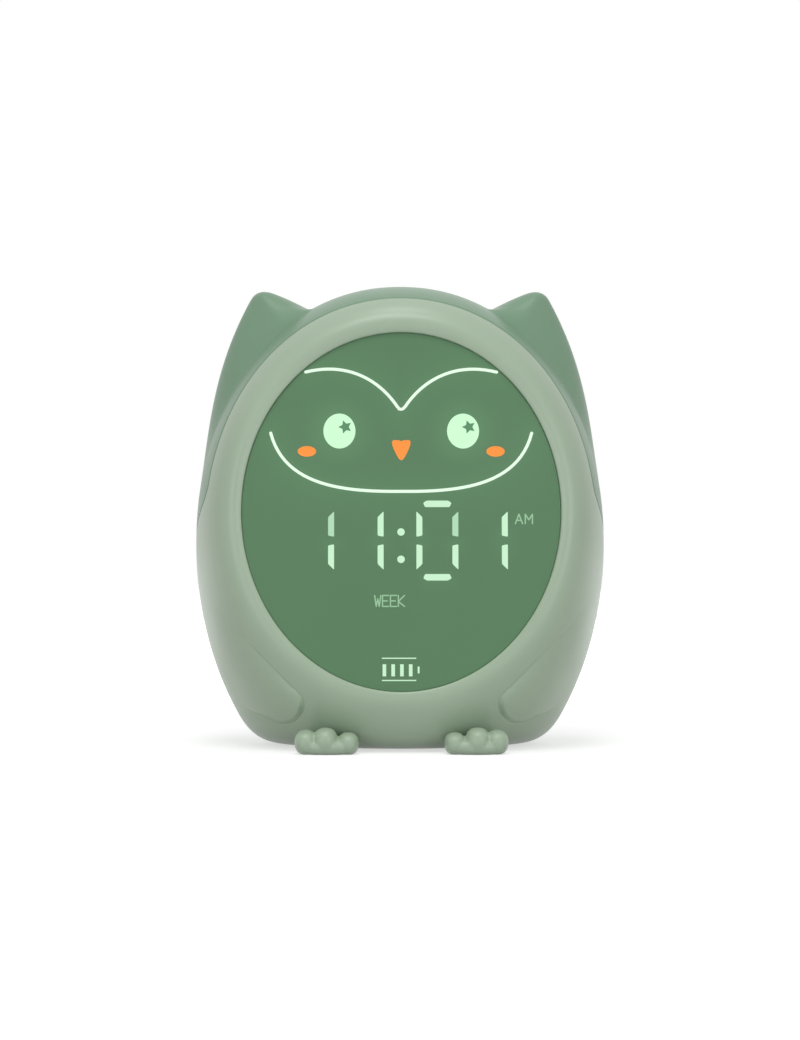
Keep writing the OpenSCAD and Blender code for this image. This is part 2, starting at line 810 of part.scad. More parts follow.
// Places of the display's diodes: behind the digits, the eyes, the face lines and the battery sign
led_places = concat(
    [for (x = digits_at, dz = [-3, -1, 1, 3]) [x + digit_w / 2 - 1, digit_mid + dz * digit_h / 8]],
    [for (dz = [-3, -1, 1, 3]) [digits_at[2] - digit_w / 2 + 1, digit_mid + dz * digit_h / 8]],
    [for (half = [-1, 1]) colon_at + [0, half * colon_rise]],
    [for (side = [-1, 1], a = [45 : 90 : 315]) [side * eye_x + 3 * cos(a), eye_z + 3 * sin(a)]],
    [for (side = [-1, 1], handles = [brow, smile], t = [0.15, 0.5, 0.85])
        let (p = bezier(handles, t)) [side * p.x, p.y]],
    [for (side = [-1, 1]) [side * cheek_x, cheek_z]],
    [[0, 17]],
    [for (x = [-3.5, 3.5]) [x, -46.5]]
);

module display_leds() {
    color("lightyellow")
        in_face_frame()
            for (p = led_places)
                block([p.x - led_w / 2, display_y - led_t, p.y - led_w / 2], [p.x + led_w / 2, display_y, p.y + led_w / 2]);
}

display_back = display_y + board_t;
ribbon_w = 12;
ribbon_t = 0.3;
plug_t = 2;

module display_chips() {
    color(DARK)
        in_face_frame() {
            block([-ribbon_w / 2 - 1, display_back, 8], [ribbon_w / 2 + 1, display_back + plug_t, 12]);
            for (x = [-22, 22])
                block([x - 4, display_back, -4], [x + 4, display_back + 1.2, 6]);
        }
}

// A pan-head screw along Y, its head behind y
module screw_y(y, l, x, z) {
    rod(screw_r, y - l, y, x, z);
    rod(head_r, y, y + head_t, x, z);
}

module display_screws() {
    color(STEEL)
        in_face_frame()
            for (p = display_bosses)
                screw_y(display_back, 6, p.x, p.y);
}

// ---- main board ----

module ribbon_cable() {
    start = on_face(0, 10, -(display_back + plug_t));
    color("linen")
        translate([-ribbon_w / 2, 0, 0])
            rotate([90, 0, 90])
                linear_extrude(ribbon_w)
                    band([for (k = [0 : 16]) bezier([[start.y + 0.1, start.z], [start.y + 16, start.z],
                        [board_front - 20, main_plug_z], [board_front - plug_t - 0.1, main_plug_z]], k / 16)], ribbon_t);
}

main_plug_z = key_low_z + key_rise;

module main_board() {
    color(BOARD_GREEN)
        difference() {
            rounded_box([-board_hx, board_front, board_low], [board_hx, board_back, board_high], 4);
            for (p = posts)
                rod(screw_r + 0.2, board_front - 1, board_back + 1, p.x, p.y);
        }
}

// Room on the main board between the plugs of the leads and the heads of the upper screws
parts_low = board_low + 5;
parts_high = key_low_z + key_rise / 2 - head_r;
parts_mid = (parts_low + parts_high) / 2;
parts_room = parts_high - parts_low;

module board_chips() {
    color(DARK) {
        block([-ribbon_w / 2 - 1, board_front - plug_t, main_plug_z - 2], [ribbon_w / 2 + 1, board_front, main_plug_z + 2]);
        block([8, board_front - 1.6, parts_mid - parts_room / 4], [18, board_front, parts_mid + parts_room / 4]);
        block([-18, board_front - 1.4, parts_mid - parts_room / 8], [-12, board_front, parts_mid + parts_room / 8]);
        for (x = [-16, -9])
            block([x - 3, board_front - 4, board_low + 1], [x + 3, board_front, parts_low]);
        for (k = [0 : 4])
            block([8 + 2.2 * k, board_front - 0.6, board_low + 2], [9.2 + 2.2 * k, board_front, board_low + 4]);
    }
}

module clock_crystal() {
    color(STEEL)
        rounded_box([-8, board_front - 3.5, parts_mid - 0.28 * parts_room],
            [-4, board_front, parts_mid + 0.28 * parts_room], 1.8);
}

module board_screws() {
    color(STEEL)
        for (p = posts) {
            rod(screw_r, board_front, board_back + 3, p.x, p.y);
            rod(head_r, board_front - head_t, board_front, p.x, p.y);
        }
}

// ---- keys ----

key_places = [for (row = [0, 1], k = [-1, 0, 1]) [k * key_pitch, key_low_z + row * key_rise]];
switch_hole = plunger_r + 0.15;
plunger_l = key_travel + 1.4;

module key_switches() {
    color(DARK)
        for (p = key_places)
            difference() {
                block([p.x - switch_w / 2, board_back, p.y - switch_w / 2], [p.x + switch_w / 2, switch_top, p.y + switch_w / 2]);
                rod(switch_hole, plunger_top - plunger_l - key_travel - 0.3, switch_top + 1, p.x, p.y);
            }
}

// A key cap with its flange behind the panel and a dished top
module key_cap(p) {
    color(PALE)
        translate([p.x, plunger_top, p.y])
            rotate([-90, 0, 0])
                rotate_extrude()
                    polygon([[0, 0], [key_r + key_flange_w, 0], [key_r + key_flange_w, key_flange_t],
                        [key_r, key_flange_t], [key_r, key_flange_t + panel_t + key_proud - 0.4],
                        [key_r - 0.5, key_flange_t + panel_t + key_proud + seat],
                        [key_r - 1.6, key_flange_t + panel_t + key_proud + seat],
                        [0, key_flange_t + panel_t + key_proud - 0.3]]);
}

module plunger(p) {
    color("ivory")
        rod(plunger_r, plunger_top - plunger_l, plunger_top, p.x, p.y);
}

module down_key() { key_cap(key_places[0]); }
module up_key() { key_cap(key_places[2]); }
module nap_key() { key_cap(key_places[1]); }
module alarm_key() { key_cap(key_places[3]); }
module light_key() { key_cap(key_places[4]); }
module mode_key() { key_cap(key_places[5]); }
module down_plunger() { plunger(key_places[0]); }
module up_plunger() { plunger(key_places[2]); }
module nap_plunger() { plunger(key_places[1]); }
module alarm_plunger() { plunger(key_places[3]); }
module light_plunger() { plunger(key_places[4]); }
module mode_plunger() { plunger(key_places[5]); }

// ---- power switch and charging socket ----

switch_hx = nib_w / 2 + slider_travel / 2 + 2.2;
nib_y = panel_y - 0.3;

module power_switch() {
    low = [-port_x - switch_hx, board_back, port_z - nib_h / 2 - 1.4];
    high = [-port_x + switch_hx, panel_in - 0.2, port_z + nib_h / 2 + 1.4];
    hole_hx = nib_w / 2 + slider_travel / 2 + 0.15;
    color(STEEL)
        difference() {
            block(low, high);
            block([-port_x - hole_hx, board_back + 1, port_z - nib_h / 2 - 0.15],
                [-port_x + hole_hx, panel_y, port_z + nib_h / 2 + 0.15]);
        }
}

module power_slider() {
    x = -port_x - slider_travel / 2;
    color(DARK)
        block([x - nib_w / 2, board_back + 1.15, port_z - nib_h / 2], [x + nib_w / 2, nib_y, port_z + nib_h / 2]);
}

socket_y = panel_y - 0.4;

// The outline of the socket, d larger than its mouth all round
module socket_outline(d) {
    h = socket_h + 2 * d;
    w = socket_w + 2 * d;
    for (dx = [-1, 1])
        translate([port_x + dx * (w - h) / 2, port_z])
            circle(h / 2);
    translate([port_x, port_z])
        square([w - h, h], center = true);
}

module usb_socket() {
    color(STEEL)
        difference() {
            upright_plate(board_back, socket_y - board_back)
                socket_outline(socket_wall);
            upright_plate(board_back + 1, socket_y)
                socket_outline(0);
        }
}

module usb_tongue() {
    color(DARK)
        block([port_x - socket_w * 0.36, board_back + 1, port_z - 0.35], [port_x + socket_w * 0.36, socket_y - 0.6, port_z + 0.35]);
}

// ---- speaker ----

gasket_y = panel_in - gasket_t;
rim_y = gasket_y - 1;
speaker_back = gasket_y - speaker_t;
magnet_front = speaker_back + magnet_t;
coil_r = 3.5;
coil_wall = 0.3;

// A piece turned about the speaker's axis, from [radius, y] points
module turned(points) {
    translate([0, 0, speaker_z])
        rotate([-90, 0, 0])
            rotate_extrude()
                polygon(points);
}

module speaker_frame() {
    color(STEEL)
        turned([[speaker_r, gasket_y], [speaker_r, rim_y], [speaker_r - 1.2, rim_y], [magnet_r + 1, magnet_front],
            [coil_r + 1, magnet_front], [coil_r + 1, magnet_front + 0.8], [magnet_r + 0.4, magnet_front + 0.8],
            [speaker_r - 2, rim_y + 0.2], [speaker_r - 2, gasket_y]]);
}

module speaker_magnet() {
    color(DARK)
        turned([[0, speaker_back], [magnet_r, speaker_back], [magnet_r, magnet_front], [coil_r + 0.4, magnet_front],
            [coil_r + 0.4, speaker_back + 1.2], [coil_r - coil_wall - 0.4, speaker_back + 1.2],
            [coil_r - coil_wall - 0.4, magnet_front], [0, magnet_front]]);
}

cone_y = gasket_y - cone_travel - 0.3;

module speaker_cone() {
    color("dimgray")
        turned([[speaker_r - 2.8, cone_y - 0.4], [speaker_r - 2.8, cone_y], [coil_r, cone_y - 2.4], [0, cone_y - 1.2],
            [0, cone_y - 1.6], [coil_r, cone_y - 2.8]]);
}

module voice_coil() {
    color(COPPER)
        turned([[coil_r, speaker_back + 1.2 + cone_travel + 0.4], [coil_r, cone_y - 2.82], [coil_r - coil_wall, cone_y - 2.74],
            [coil_r - coil_wall, speaker_back + 1.2 + cone_travel + 0.4]]);
}

module speaker_gasket() {
    color(DARK)
        turned([[speaker_r, gasket_y], [speaker_r, panel_in], [speaker_r - 2, panel_in], [speaker_r - 2, gasket_y]]);
}

lead_w = 2.4;
lead_t = 1.2;

// A flat two-core lead in the plane x, through [y, z] handles
module lead(x, handles) {
    translate([x - lead_w / 2, 0, 0])
        rotate([90, 0, 90])
            linear_extrude(lead_w)
                band([for (k = [0 : 12]) bezier(handles, k / 12)], lead_t);
}

module speaker_lead() {
    top = board_low + 3;
    color("firebrick")
        lead(-16, [[board_front - 4.1, top], [board_front - 12, top], [speaker_back - 8, speaker_z],
            [speaker_back - 2, speaker_z - 6]]);
}

// ---- battery ----

module battery_cell() {
    color("royalblue")
        translate([-cell_l / 2, cell_y, cell_z])
            rotate([0, 90, 0])
                cylinder(r = cell_r, h = cell_l);
}

module battery_cradle() {
    low = [-cradle_hx, cell_y - cradle_hy, cradle_z];
    high = [cradle_hx, cell_y + cradle_hy, cell_z - 1];
    color("white")
        difference() {
            union() {
                block(low, high);
                for (x = [-tab_x, tab_x]) {
                    translate([x, tab_y, tab_z])
                        cylinder(r = boss_r + 0.4, h = tab_t);
                    block([x - boss_r, tab_y, tab_z], [x + boss_r, low.y + 1, tab_z + tab_t]);
                }
            }
            translate([-cell_l / 2 - 0.3, cell_y, cell_z])
                rotate([0, 90, 0])
                    cylinder(r = cell_r + seat, h = cell_l + 0.6);
            for (x = [-tab_x, tab_x])
                translate([x, tab_y, 0])
                    cylinder(r = screw_r + 0.2, h = 30);
        }
}

module battery_strap() {
    color(DARK)
        difference() {
            union() {
                translate([-5, cell_y, cell_z])
                    rotate([0, 90, 0])
                        cylinder(r = cell_r + seat + 0.8, h = 10);
            }
            translate([-6, cell_y, cell_z])
                rotate([0, 90, 0])
                    cylinder(r = cell_r + seat, h = 12);
            block([-6, cell_y - 20, 0], [6, cell_y + 20, cell_z - 1]);
        }
}

module battery_lead() {
    top = board_low + 3;
    color("firebrick")
        lead(-9, [[board_front - 4.1, top], [board_front - 14, top], [cell_y + 6, cell_z + cell_r + 12],
            [cell_y, cell_z + cell_r + 0.8]]);
}

module cradle_screws() {
    top = tab_z + tab_t;
    color(STEEL)
        for (x = [-tab_x, tab_x])
            translate([x, tab_y, top]) {
                cylinder(r = head_r, h = head_t);
                translate([0, 0, base_z + 1.5 - top])
                    cylinder(r = screw_r, h = top - base_z - 1.5);
            }
}

module case_screws() {
    color(STEEL)
        for (p = case_screws_at)
            screw_y(case_y(p.y) + head_seat, head_seat + 8, p.x, p.y);
}

module panel_screws() {
    color(STEEL)
        for (p = panel_screws_at)
            screw_y(panel_y - head_t / 2, panel_t + 4, p.x, p.y);
}

// ---- feet ----

peg_r = 2;
peg_y = -(toe_y - sole_l) + 2;
toe_low = 1;        // how much lower and shorter the outer toes are
function toe_r(h) = min(foot_w / 6 + 0.6, h / 2);

// One toe: a rounded bar that drops to the floor at its tip
module toe(side, y, h) {
    r = toe_r(h);
    x = side * (foot_w / 2 - r);
    hull() {
        translate([x, -y + r, r])
            sphere(r, $fn = 20);
        translate([x, -y + r + 0.6, h - r])
            sphere(r, $fn = 20);
        translate([x * 0.9, -y + r + 6, h - r])
            sphere(r, $fn = 20);
        translate([x * 0.9, -y + r + 6, 0])
            cylinder(r = r, h = sole_t / 2, $fn = 20);
    }
}

module foot(x) {
    color(SAGE) {
        difference() {
            translate([x, 0, 0]) {
                toe(-1, toe_y - toe_low, toe_h - toe_low);
                toe(0, toe_y, toe_h);
                toe(1, toe_y - toe_low, toe_h - toe_low);
                block([-foot_w / 2 + 1, -toe_y + 5, 0], [foot_w / 2 - 1, -toe_y + sole_l + 3, sole_t]);
            }
            front_core(1.5 * seat);
        }
        translate([x, peg_y, 0])
            cylinder(r = peg_r, h = floor_z + 1);
    }
}

module left_foot() { foot(-foot_x); }
module right_foot() { foot(foot_x); }

module rear_pads() {
    color(RUBBER)
        for (x = [-foot_x, foot_x])
            translate([x, pad_y, 0])
                cylinder(r = pad_r, h = base_z + pad_sink);
}

front_shell();
rear_shell();
back_panel();
face_lens();
lens_tape();
mask_film();
diffuser_sheet();
light_box();
display_board();
display_leds();
display_chips();
display_screws();
ribbon_cable();
main_board();
board_chips();
clock_crystal();
board_screws();
key_switches();
alarm_key();
alarm_plunger();
mode_key();
mode_plunger();
light_key();
light_plunger();
down_key();
down_plunger();
up_key();
up_plunger();
nap_key();
nap_plunger();
power_switch();
power_slider();
usb_socket();
usb_tongue();
speaker_frame();
speaker_magnet();
speaker_cone();
voice_coil();
speaker_gasket();
speaker_lead();
battery_cell();
battery_cradle();
battery_strap();
battery_lead();
cradle_screws();
case_screws();
panel_screws();
left_foot();
right_foot();
rear_pads();
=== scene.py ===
import json
from math import atan2, copysign, cos, degrees, exp, hypot, pi, radians, sin

import bmesh
import bpy
import numpy as np
from mathutils import Matrix, Vector


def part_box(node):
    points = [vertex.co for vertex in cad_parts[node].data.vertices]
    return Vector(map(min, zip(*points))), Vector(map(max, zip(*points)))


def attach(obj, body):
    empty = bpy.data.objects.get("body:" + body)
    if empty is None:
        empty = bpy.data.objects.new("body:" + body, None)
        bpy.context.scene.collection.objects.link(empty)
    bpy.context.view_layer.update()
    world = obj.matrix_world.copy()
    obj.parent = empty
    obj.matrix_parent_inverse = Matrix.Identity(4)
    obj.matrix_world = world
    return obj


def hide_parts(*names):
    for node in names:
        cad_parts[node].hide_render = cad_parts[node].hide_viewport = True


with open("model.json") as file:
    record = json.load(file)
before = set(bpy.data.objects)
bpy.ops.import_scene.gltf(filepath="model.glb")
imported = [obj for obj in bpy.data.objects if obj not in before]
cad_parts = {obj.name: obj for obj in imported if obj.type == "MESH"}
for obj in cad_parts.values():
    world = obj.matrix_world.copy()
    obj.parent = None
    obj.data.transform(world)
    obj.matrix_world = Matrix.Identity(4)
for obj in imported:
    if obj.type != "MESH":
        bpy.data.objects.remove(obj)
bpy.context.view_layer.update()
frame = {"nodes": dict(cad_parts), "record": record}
mm = 0.001
print("frame loaded:", len(frame["nodes"]), "nodes")

# the body's form follows the same curves as the solids; sizes are in millimetres, angles in degrees
bodyForm = {
    "width": 123.6,
    "crown": 138.7,
    "crownPower": 2.1,  # 2 is an ellipse, more is squarer
    "waistZ": 60.4,  # where the body is widest
    "waistY": 3.8,
    "underReach": 84.0,  # how far the curve below the waist would go without the flat base
    "baseZ": 0.5,
    "baseRound": 8.5,
    "wall": 2.2,
    "shoulderPull": 14.0,  # how strongly the curve leaves the waist forward and back
    "rearPull": 22.0,
    "seamFront": 20.5,  # the parting line lies in front above seamHigh and behind below seamLow
    "seamRear": 20.0,
    "seamHigh": 79.0,
    "seamLow": 49.0,
    "seamGap": 0.3,
}
earForm = {
    "height": 14.9,
    "tipAt": 61.0,  # angles round the waist's middle, up from the side
    "footAt": 16.5,
    "innerTurn": 8.0,
    "outerPower": 1.8,
    "round": 5.6,
    "ridgeRound": 1.3,  # the ridge in front of the crest: its sharpness and its turn inwards
    "sharpBy": 0.45,
    "ridgeTurn": 1.2,
    "turnFrom": 0.5,
    "frontPower": 1.6,
    "crestY": 5.0,
    "front": 12.0,
    "back": 27.0,
    "hollow": 0.6,  # the ear's height inside, as a share of that outside
}
wingForm = {
    "tip": (34.8, 14.3),
    "tipRadius": 5.8,
    "root": (61.8, 31.5),
    "rootRadius": 13.2,
    "height": 1.15,
    "rootHeight": 0.4,
    "heightFade": 1.6,
    "tipSoftness": 1.4,
    "rootSoftness": 3.2,
    "softnessFade": 2.5,
    "wallWide": 1.2,
    "wallFrom": 0.9,  # the edge turns into a wall where it looks less upwards than this
    "wallOver": 1.1,
    "crease": 0.3,
    "creaseWide": 0.35,
    "creaseFade": 1.6,
    "creaseOut": 0.55,
    "creaseEnd": (0.55, 0.95),
    "push": (0.55, -0.82, -0.15),  # the way it stands out: outwards, backwards and upwards
    "fadeY": -8.2,
    "fadeOver": 16.0,
}
faceForm = {
    "rx": 46.7,
    "rz": 52.7,
    "z": 70.6,
    "y": 32.2,
    "tilt": 5.0,
    "rimOut": 9.0,
    "rimRise": 5.0,
    "lensSet": 0.8,
    "lensThick": 2.0,
    "tapeThick": 0.4,
    "ledgeWide": 4.0,
    "ledgeThick": 2.0,
}
panelForm = {
    "rx": 34.0,
    "rz": 42.0,
    "z": 61.0,
    "y": 40.8,
    "thick": 2.0,
    "ledgeWide": 3.0,
    "rearOut": 15.0,
    "rearSink": 1.5,
}


def power(value, exponent):
    return copysign(abs(value) ** exponent, value)


def clampShare(t):
    return max(0.0, min(1.0, t))


def smoothStep(t):
    t = clampShare(t)
    return t * t * (3 - 2 * t)


# a soft step from 0 to 1 with its middle at distance 0
def edgeStep(distance, wide):
    return smoothStep(distance / wide + 0.5)


def between(a, b, t):
    return a + (b - a) * t


def smoothMax(a, b, k):
    return max(a, b) + max(k - abs(a - b), 0) ** 2 / (4 * k)


def bezier(handles, t):
    s = 1 - t
    a, b, c, d = (Vector(handle) for handle in handles)
    return a * s**3 + b * (3 * s * s * t) + c * (3 * s * t * t) + d * t**3


def ovalPoint(rx, rz, u):
    return rx * cos(radians(u)), rz * sin(radians(u))


# a point of the tilted face: x to the right, v up the face from its middle and h out of it
def onFace(x, v, h):
    tilt = radians(faceForm["tilt"])
    y = -faceForm["y"] + v * sin(tilt) - h * cos(tilt)
    return Vector((x, y, faceForm["z"] + v * cos(tilt) + h * sin(tilt)))


# a point e outside the face opening's edge, and the same for the back panel
def facePoint(u, e, h):
    return onFace(*ovalPoint(faceForm["rx"] + e, faceForm["rz"] + e, u), h)


def panelPoint(u, e, h):
    x, v = ovalPoint(panelForm["rx"] + e, panelForm["rz"] + e, u)
    return Vector((x, panelForm["y"] + h, panelForm["z"] + v))


def waistPoint(u):
    across, up = cos(radians(u)), sin(radians(u))
    exponent = 2 / bodyForm["crownPower"] if up > 0 else 1
    reach = bodyForm["crown"] - bodyForm["waistZ"] if up > 0 else bodyForm["underReach"]
    x = bodyForm["width"] / 2 * power(across, exponent)
    return Vector((x, bodyForm["waistY"], bodyForm["waistZ"] + reach * power(up, exponent)))


def seamY(z):
    turned = smoothStep((bodyForm["seamHigh"] - z) / (bodyForm["seamHigh"] - bodyForm["seamLow"]))
    return between(-bodyForm["seamFront"], bodyForm["seamRear"], turned)


# the ear's height over the crown; in front of the crest its ridge gets sharper and turns inwards
def earHeight(angle, y):
    ahead = clampShare((earForm["crestY"] - y) / earForm["front"])
    rounding = between(earForm["round"], earForm["ridgeRound"], smoothStep(ahead / earForm["sharpBy"]))
    angle -= earForm["ridgeTurn"] * smoothStep((ahead - earForm["turnFrom"]) / (1 - earForm["turnFrom"]))
    rise = (angle - earForm["footAt"]) / (earForm["tipAt"] - earForm["footAt"])
    outer = earForm["height"] * max(0, rise) ** earForm["outerPower"]
    inner = (earForm["tipAt"] + earForm["innerTurn"] - angle) * earForm["height"] / earForm["innerTurn"]
    return earDepth(y) * max(0, -smoothMax(-outer, -inner, rounding))


def earDepth(y):
    behind = y - earForm["crestY"]
    if behind < 0:
        return 1 - clampShare(-behind / earForm["front"]) ** earForm["frontPower"]
    return smoothStep(1 - behind / earForm["back"])


# a place against the wing: its distance inside the edge, its share of the way from tip to root
# and how far the edge there looks upwards
def wingPlace(x, z):
    tip = Vector(wingForm["tip"])
    span = Vector(wingForm["root"]) - tip
    at = Vector((abs(x), z)) - tip
    share = clampShare(at.dot(span) / span.length_squared)
    off = at - span * share
    inset = between(wingForm["tipRadius"], wingForm["rootRadius"], share) - off.length
    return inset, share, off.y / max(off.length, 0.001)


# the upper edge swells softly from a thin step down, while the tip and the lower edge end in a wall
def wingRise(x, z):
    inset, share, upwards = wingPlace(x, z)
    lowered = smoothStep(share * wingForm["heightFade"])
    height = between(wingForm["height"], wingForm["rootHeight"], lowered)
    softened = smoothStep(share * wingForm["softnessFade"])
    softness = between(wingForm["tipSoftness"], wingForm["rootSoftness"], softened)
    swell = 1 - exp(-inset / softness) if inset > 0 else 0
    wall = smoothStep((wingForm["wallFrom"] - upwards) / wingForm["wallOver"])
    rise = height * between(swell, edgeStep(inset, wingForm["wallWide"]), wall)
    foot = inset + wingForm["wallWide"] * wingForm["creaseOut"] * wall
    crease = edgeStep(foot, wingForm["creaseWide"]) * exp(-max(0, foot) / wingForm["creaseFade"])
    start, end = wingForm["creaseEnd"]
    return rise - crease * wingForm["crease"] * smoothStep((end - share) / (end - start))


# the surface: w runs from -1 at the face opening through 0 at the waist to 1 at the back panel
def skin(u, w, inside=False):
    edge = waistPoint(u)
    if w < 0:
        leaving = edge - Vector((0, bodyForm["shoulderPull"], 0))
        arriving = facePoint(u, faceForm["rimOut"], faceForm["rimRise"])
        end = facePoint(u, 0, 0)
    else:
        leaving = edge + Vector((0, bodyForm["rearPull"], 0))
        arriving = panelPoint(u, panelForm["rearOut"], -panelForm["rearSink"])
        end = panelPoint(u, 0, 0)
    p = bezier((edge, leaving, arriving, end), abs(w))
    side = -1 if p.x < 0 else 1
    angle = degrees(atan2(p.z - bodyForm["waistZ"], abs(p.x)))
    ear = earHeight(angle, p.y) * (earForm["hollow"] if inside else 1)
    p += ear * Vector((side * cos(radians(angle)), 0, sin(radians(angle))))
    if not inside and w < 0:
        fade = smoothStep((wingForm["fadeY"] - p.y) / wingForm["fadeOver"])
        if fade > 0:
            outwards, back, up = wingForm["push"]
            p += fade * wingRise(p.x, p.z) * Vector((side * outwards, back, up))
    p.z = smoothMax(p.z, bodyForm["baseZ"], bodyForm["baseRound"])
    return p


skinSteps = {"around": 1.0, "along": 0.02, "seamReach": 0.9, "seamHalvings": 16}


# the inner wall's surface, square to the skin
def skinInside(u, w, depth):
    du, dw = skinSteps["around"], skinSteps["along"]
    along = skin(u + du, w, True) - skin(u - du, w, True)
    across = skin(u, min(1, w + dw), True) - skin(u, max(-1, w - dw), True)
    return skin(u, w, True) + along.cross(across).normalized() * depth


# where the section at u crosses the parting line
def seamAt(u, shift):
    low, high = -skinSteps["seamReach"], skinSteps["seamReach"]
    for _ in range(skinSteps["seamHalvings"]):
        middle = (low + high) / 2
        p = skin(u, middle)
        if p.y < toSeam(p, shift).y:
            low = middle
        else:
            high = middle
    return (low + high) / 2


# moved straight back or forward onto the parting line, which shift offsets square to itself
def toSeam(p, shift):
    slope = seamY(p.z - 0.5) - seamY(p.z + 0.5)
    return Vector((p.x, seamY(p.z) + shift * hypot(1, slope), p.z))


# a socket that can be used in sums
class Wire:
    def __init__(self, tree, socket):
        self.tree = tree
        self.socket = socket

    def maths(self, operation, first, second):
        return addNode(self.tree, "ShaderNodeMath", {"operation": operation}, {0: first, 1: second})

    def __add__(self, other):
        return self.maths("ADD", self, other)

    def __radd__(self, other):
        return self.maths("ADD", other, self)

    def __mul__(self, other):
        return self.maths("MULTIPLY", self, other)

    def __rmul__(self, other):
        return self.maths("MULTIPLY", other, self)


def plugIn(tree, socket, value):
    if isinstance(value, Wire):
        tree.links.new(value.socket, socket)
    elif socket.type == "RGBA" and len(value) == 3:
        socket.default_value = (*value, 1)
    else:
        socket.default_value = value


def addNode(tree, kind, settings=None, inputs=None, output=0):
    node = tree.nodes.new(kind)
    for key, value in (settings or {}).items():
        setattr(node, key, value)
    for key, value in (inputs or {}).items():
        plugIn(tree, node.inputs[key], value)
    return Wire(tree, node.outputs[output])


sockets = {
    "Colour": "Base Color",
    "CoatWeight": "Coat Weight",
    "CoatRoughness": "Coat Roughness",
    "Glow": "Emission Color",
    "GlowStrength": "Emission Strength",
    "Reflect": "Specular IOR Level",
}


class Finish:
    def __init__(self, name):
        self.material = bpy.data.materials.new(name)
        self.material.use_nodes = True
        self.tree = self.material.node_tree

    def node(self, kind, settings=None, inputs=None, output=0):
        return addNode(self.tree, kind, settings, inputs, output)

    def place(self):
        return self.node("ShaderNodeTexCoord", output="Object")

    def noise(self, scale, detail=2.0, place=None):
        inputs = {"Vector": place or self.place(), "Scale": scale, "Detail": detail}
        return self.node("ShaderNodeTexNoise", inputs=inputs)

    def mix(self, share, first, second):
        return self.node("ShaderNodeMix", {"data_type": "RGBA"}, {0: share, 6: first, 7: second}, 2)

    def bump(self, height, distance, strength):
        inputs = {"Height": height, "Distance": distance, "Strength": strength}
        self.set(Normal=self.node("ShaderNodeBump", inputs=inputs))

    def set(self, **values):
        shader = self.tree.nodes["Principled BSDF"]
        for key, value in values.items():
            plugIn(self.tree, shader.inputs[sockets.get(key, key)], value)


def srgb(red, green, blue):
    shares = (c / 255 for c in (red, green, blue))
    return tuple(c / 12.92 if c <= 0.04045 else ((c + 0.055) / 1.055) ** 2.4 for c in shares)


def shade(colour, factor):
    return tuple(min(1, c * factor) for c in colour)


# what varies over each kind of surface: clouds of tone, patches of gloss and a fine grain
plasticLook = {
    "clouds": (38, 3),  # scale and detail
    "tones": (0.965, 1.035),
    "patches": 900,
    "glossSpread": 0.08,
    "grain": (2600, 2),
    "grainDepth": 0.00004,
    "grainStrength": 0.5,
}
rubberLook = {
    "clouds": (60, 3),
    "tones": (0.94, 1.05),
    "patches": 700,
    "glossSpread": 0.12,
    "grain": (1800, 3),
    "grainDepth": 0.00005,
    "grainStrength": 0.6,
}
steelLook = {"streaks": (400, 4000, 400), "tones": (0.85, 1.05), "glossSpread": 0.15, "roughness": 0.3}
lacquerLook = {"tracks": 420, "tones": (0.7, 1.5), "patches": 500, "glossSpread": 0.1, "roughness": 0.3}
inkLook = {"clouds": 160, "tones": (0.97, 1.0), "unlit": 0.12, "roughness": 0.4, "gloss": 0.1}
lensLook = {
    "clouds": 24,
    "tones": (0.97, 1.03),
    "patches": 1200,
    "glossSpread": 0.05,
    "roughness": 0.3,
    "gloss": 0.25,
    "coat": 0.12,
    "coatRoughness": 0.12,
}


def mottled(finish, pattern, colour, look):
    darker, lighter = (shade(colour, factor) for factor in look["tones"])
    return finish.mix(pattern, darker, lighter)


def grainySurface(name, colour, look, roughness, gloss):
    finish = Finish(name)
    patches = finish.noise(look["patches"])
    finish.set(
        Colour=mottled(finish, finish.noise(*look["clouds"]), colour, look),
        Roughness=patches * look["glossSpread"] + (roughness - look["glossSpread"] / 2),
        Reflect=gloss,
    )
    finish.bump(finish.noise(*look["grain"]), look["grainDepth"], look["grainStrength"])
    return finish.material


def mouldedPlastic(name, colour, roughness=0.32, gloss=0.4):
    return grainySurface(name, colour, plasticLook, roughness, gloss)


def softRubber(name, colour, roughness=0.61, gloss=0.5):
    return grainySurface(name, colour, rubberLook, roughness, gloss)


def turnedSteel(name, colour):
    finish = Finish(name)
    inputs = {"Vector": finish.place(), "Scale": steelLook["streaks"]}
    streaks = finish.noise(1.0, place=finish.node("ShaderNodeMapping", inputs=inputs))
    finish.set(
        Colour=mottled(finish, streaks, colour, steelLook),
        Roughness=streaks * steelLook["glossSpread"] + steelLook["roughness"],
        Metallic=1.0,
    )
    return finish.material


def circuitLacquer(name, colour):
    finish = Finish(name)
    inputs = {"Vector": finish.place(), "Scale": lacquerLook["tracks"]}
    tracks = finish.node("ShaderNodeTexVoronoi", {"distance": "MANHATTAN"}, inputs)
    patches = finish.noise(lacquerLook["patches"])
    finish.set(
        Colour=mottled(finish, tracks, colour, lacquerLook),
        Roughness=patches * lacquerLook["glossSpread"] + lacquerLook["roughness"],
    )
    return finish.material


def litInk(name, colour, strength=1.0):
    finish = Finish(name)
    finish.set(
        Colour=shade(colour, inkLook["unlit"]),
        Glow=mottled(finish, finish.noise(inkLook["clouds"]), colour, inkLook),
        GlowStrength=strength,
        Roughness=inkLook["roughness"],
        Reflect=inkLook["gloss"],
    )
    return finish.material


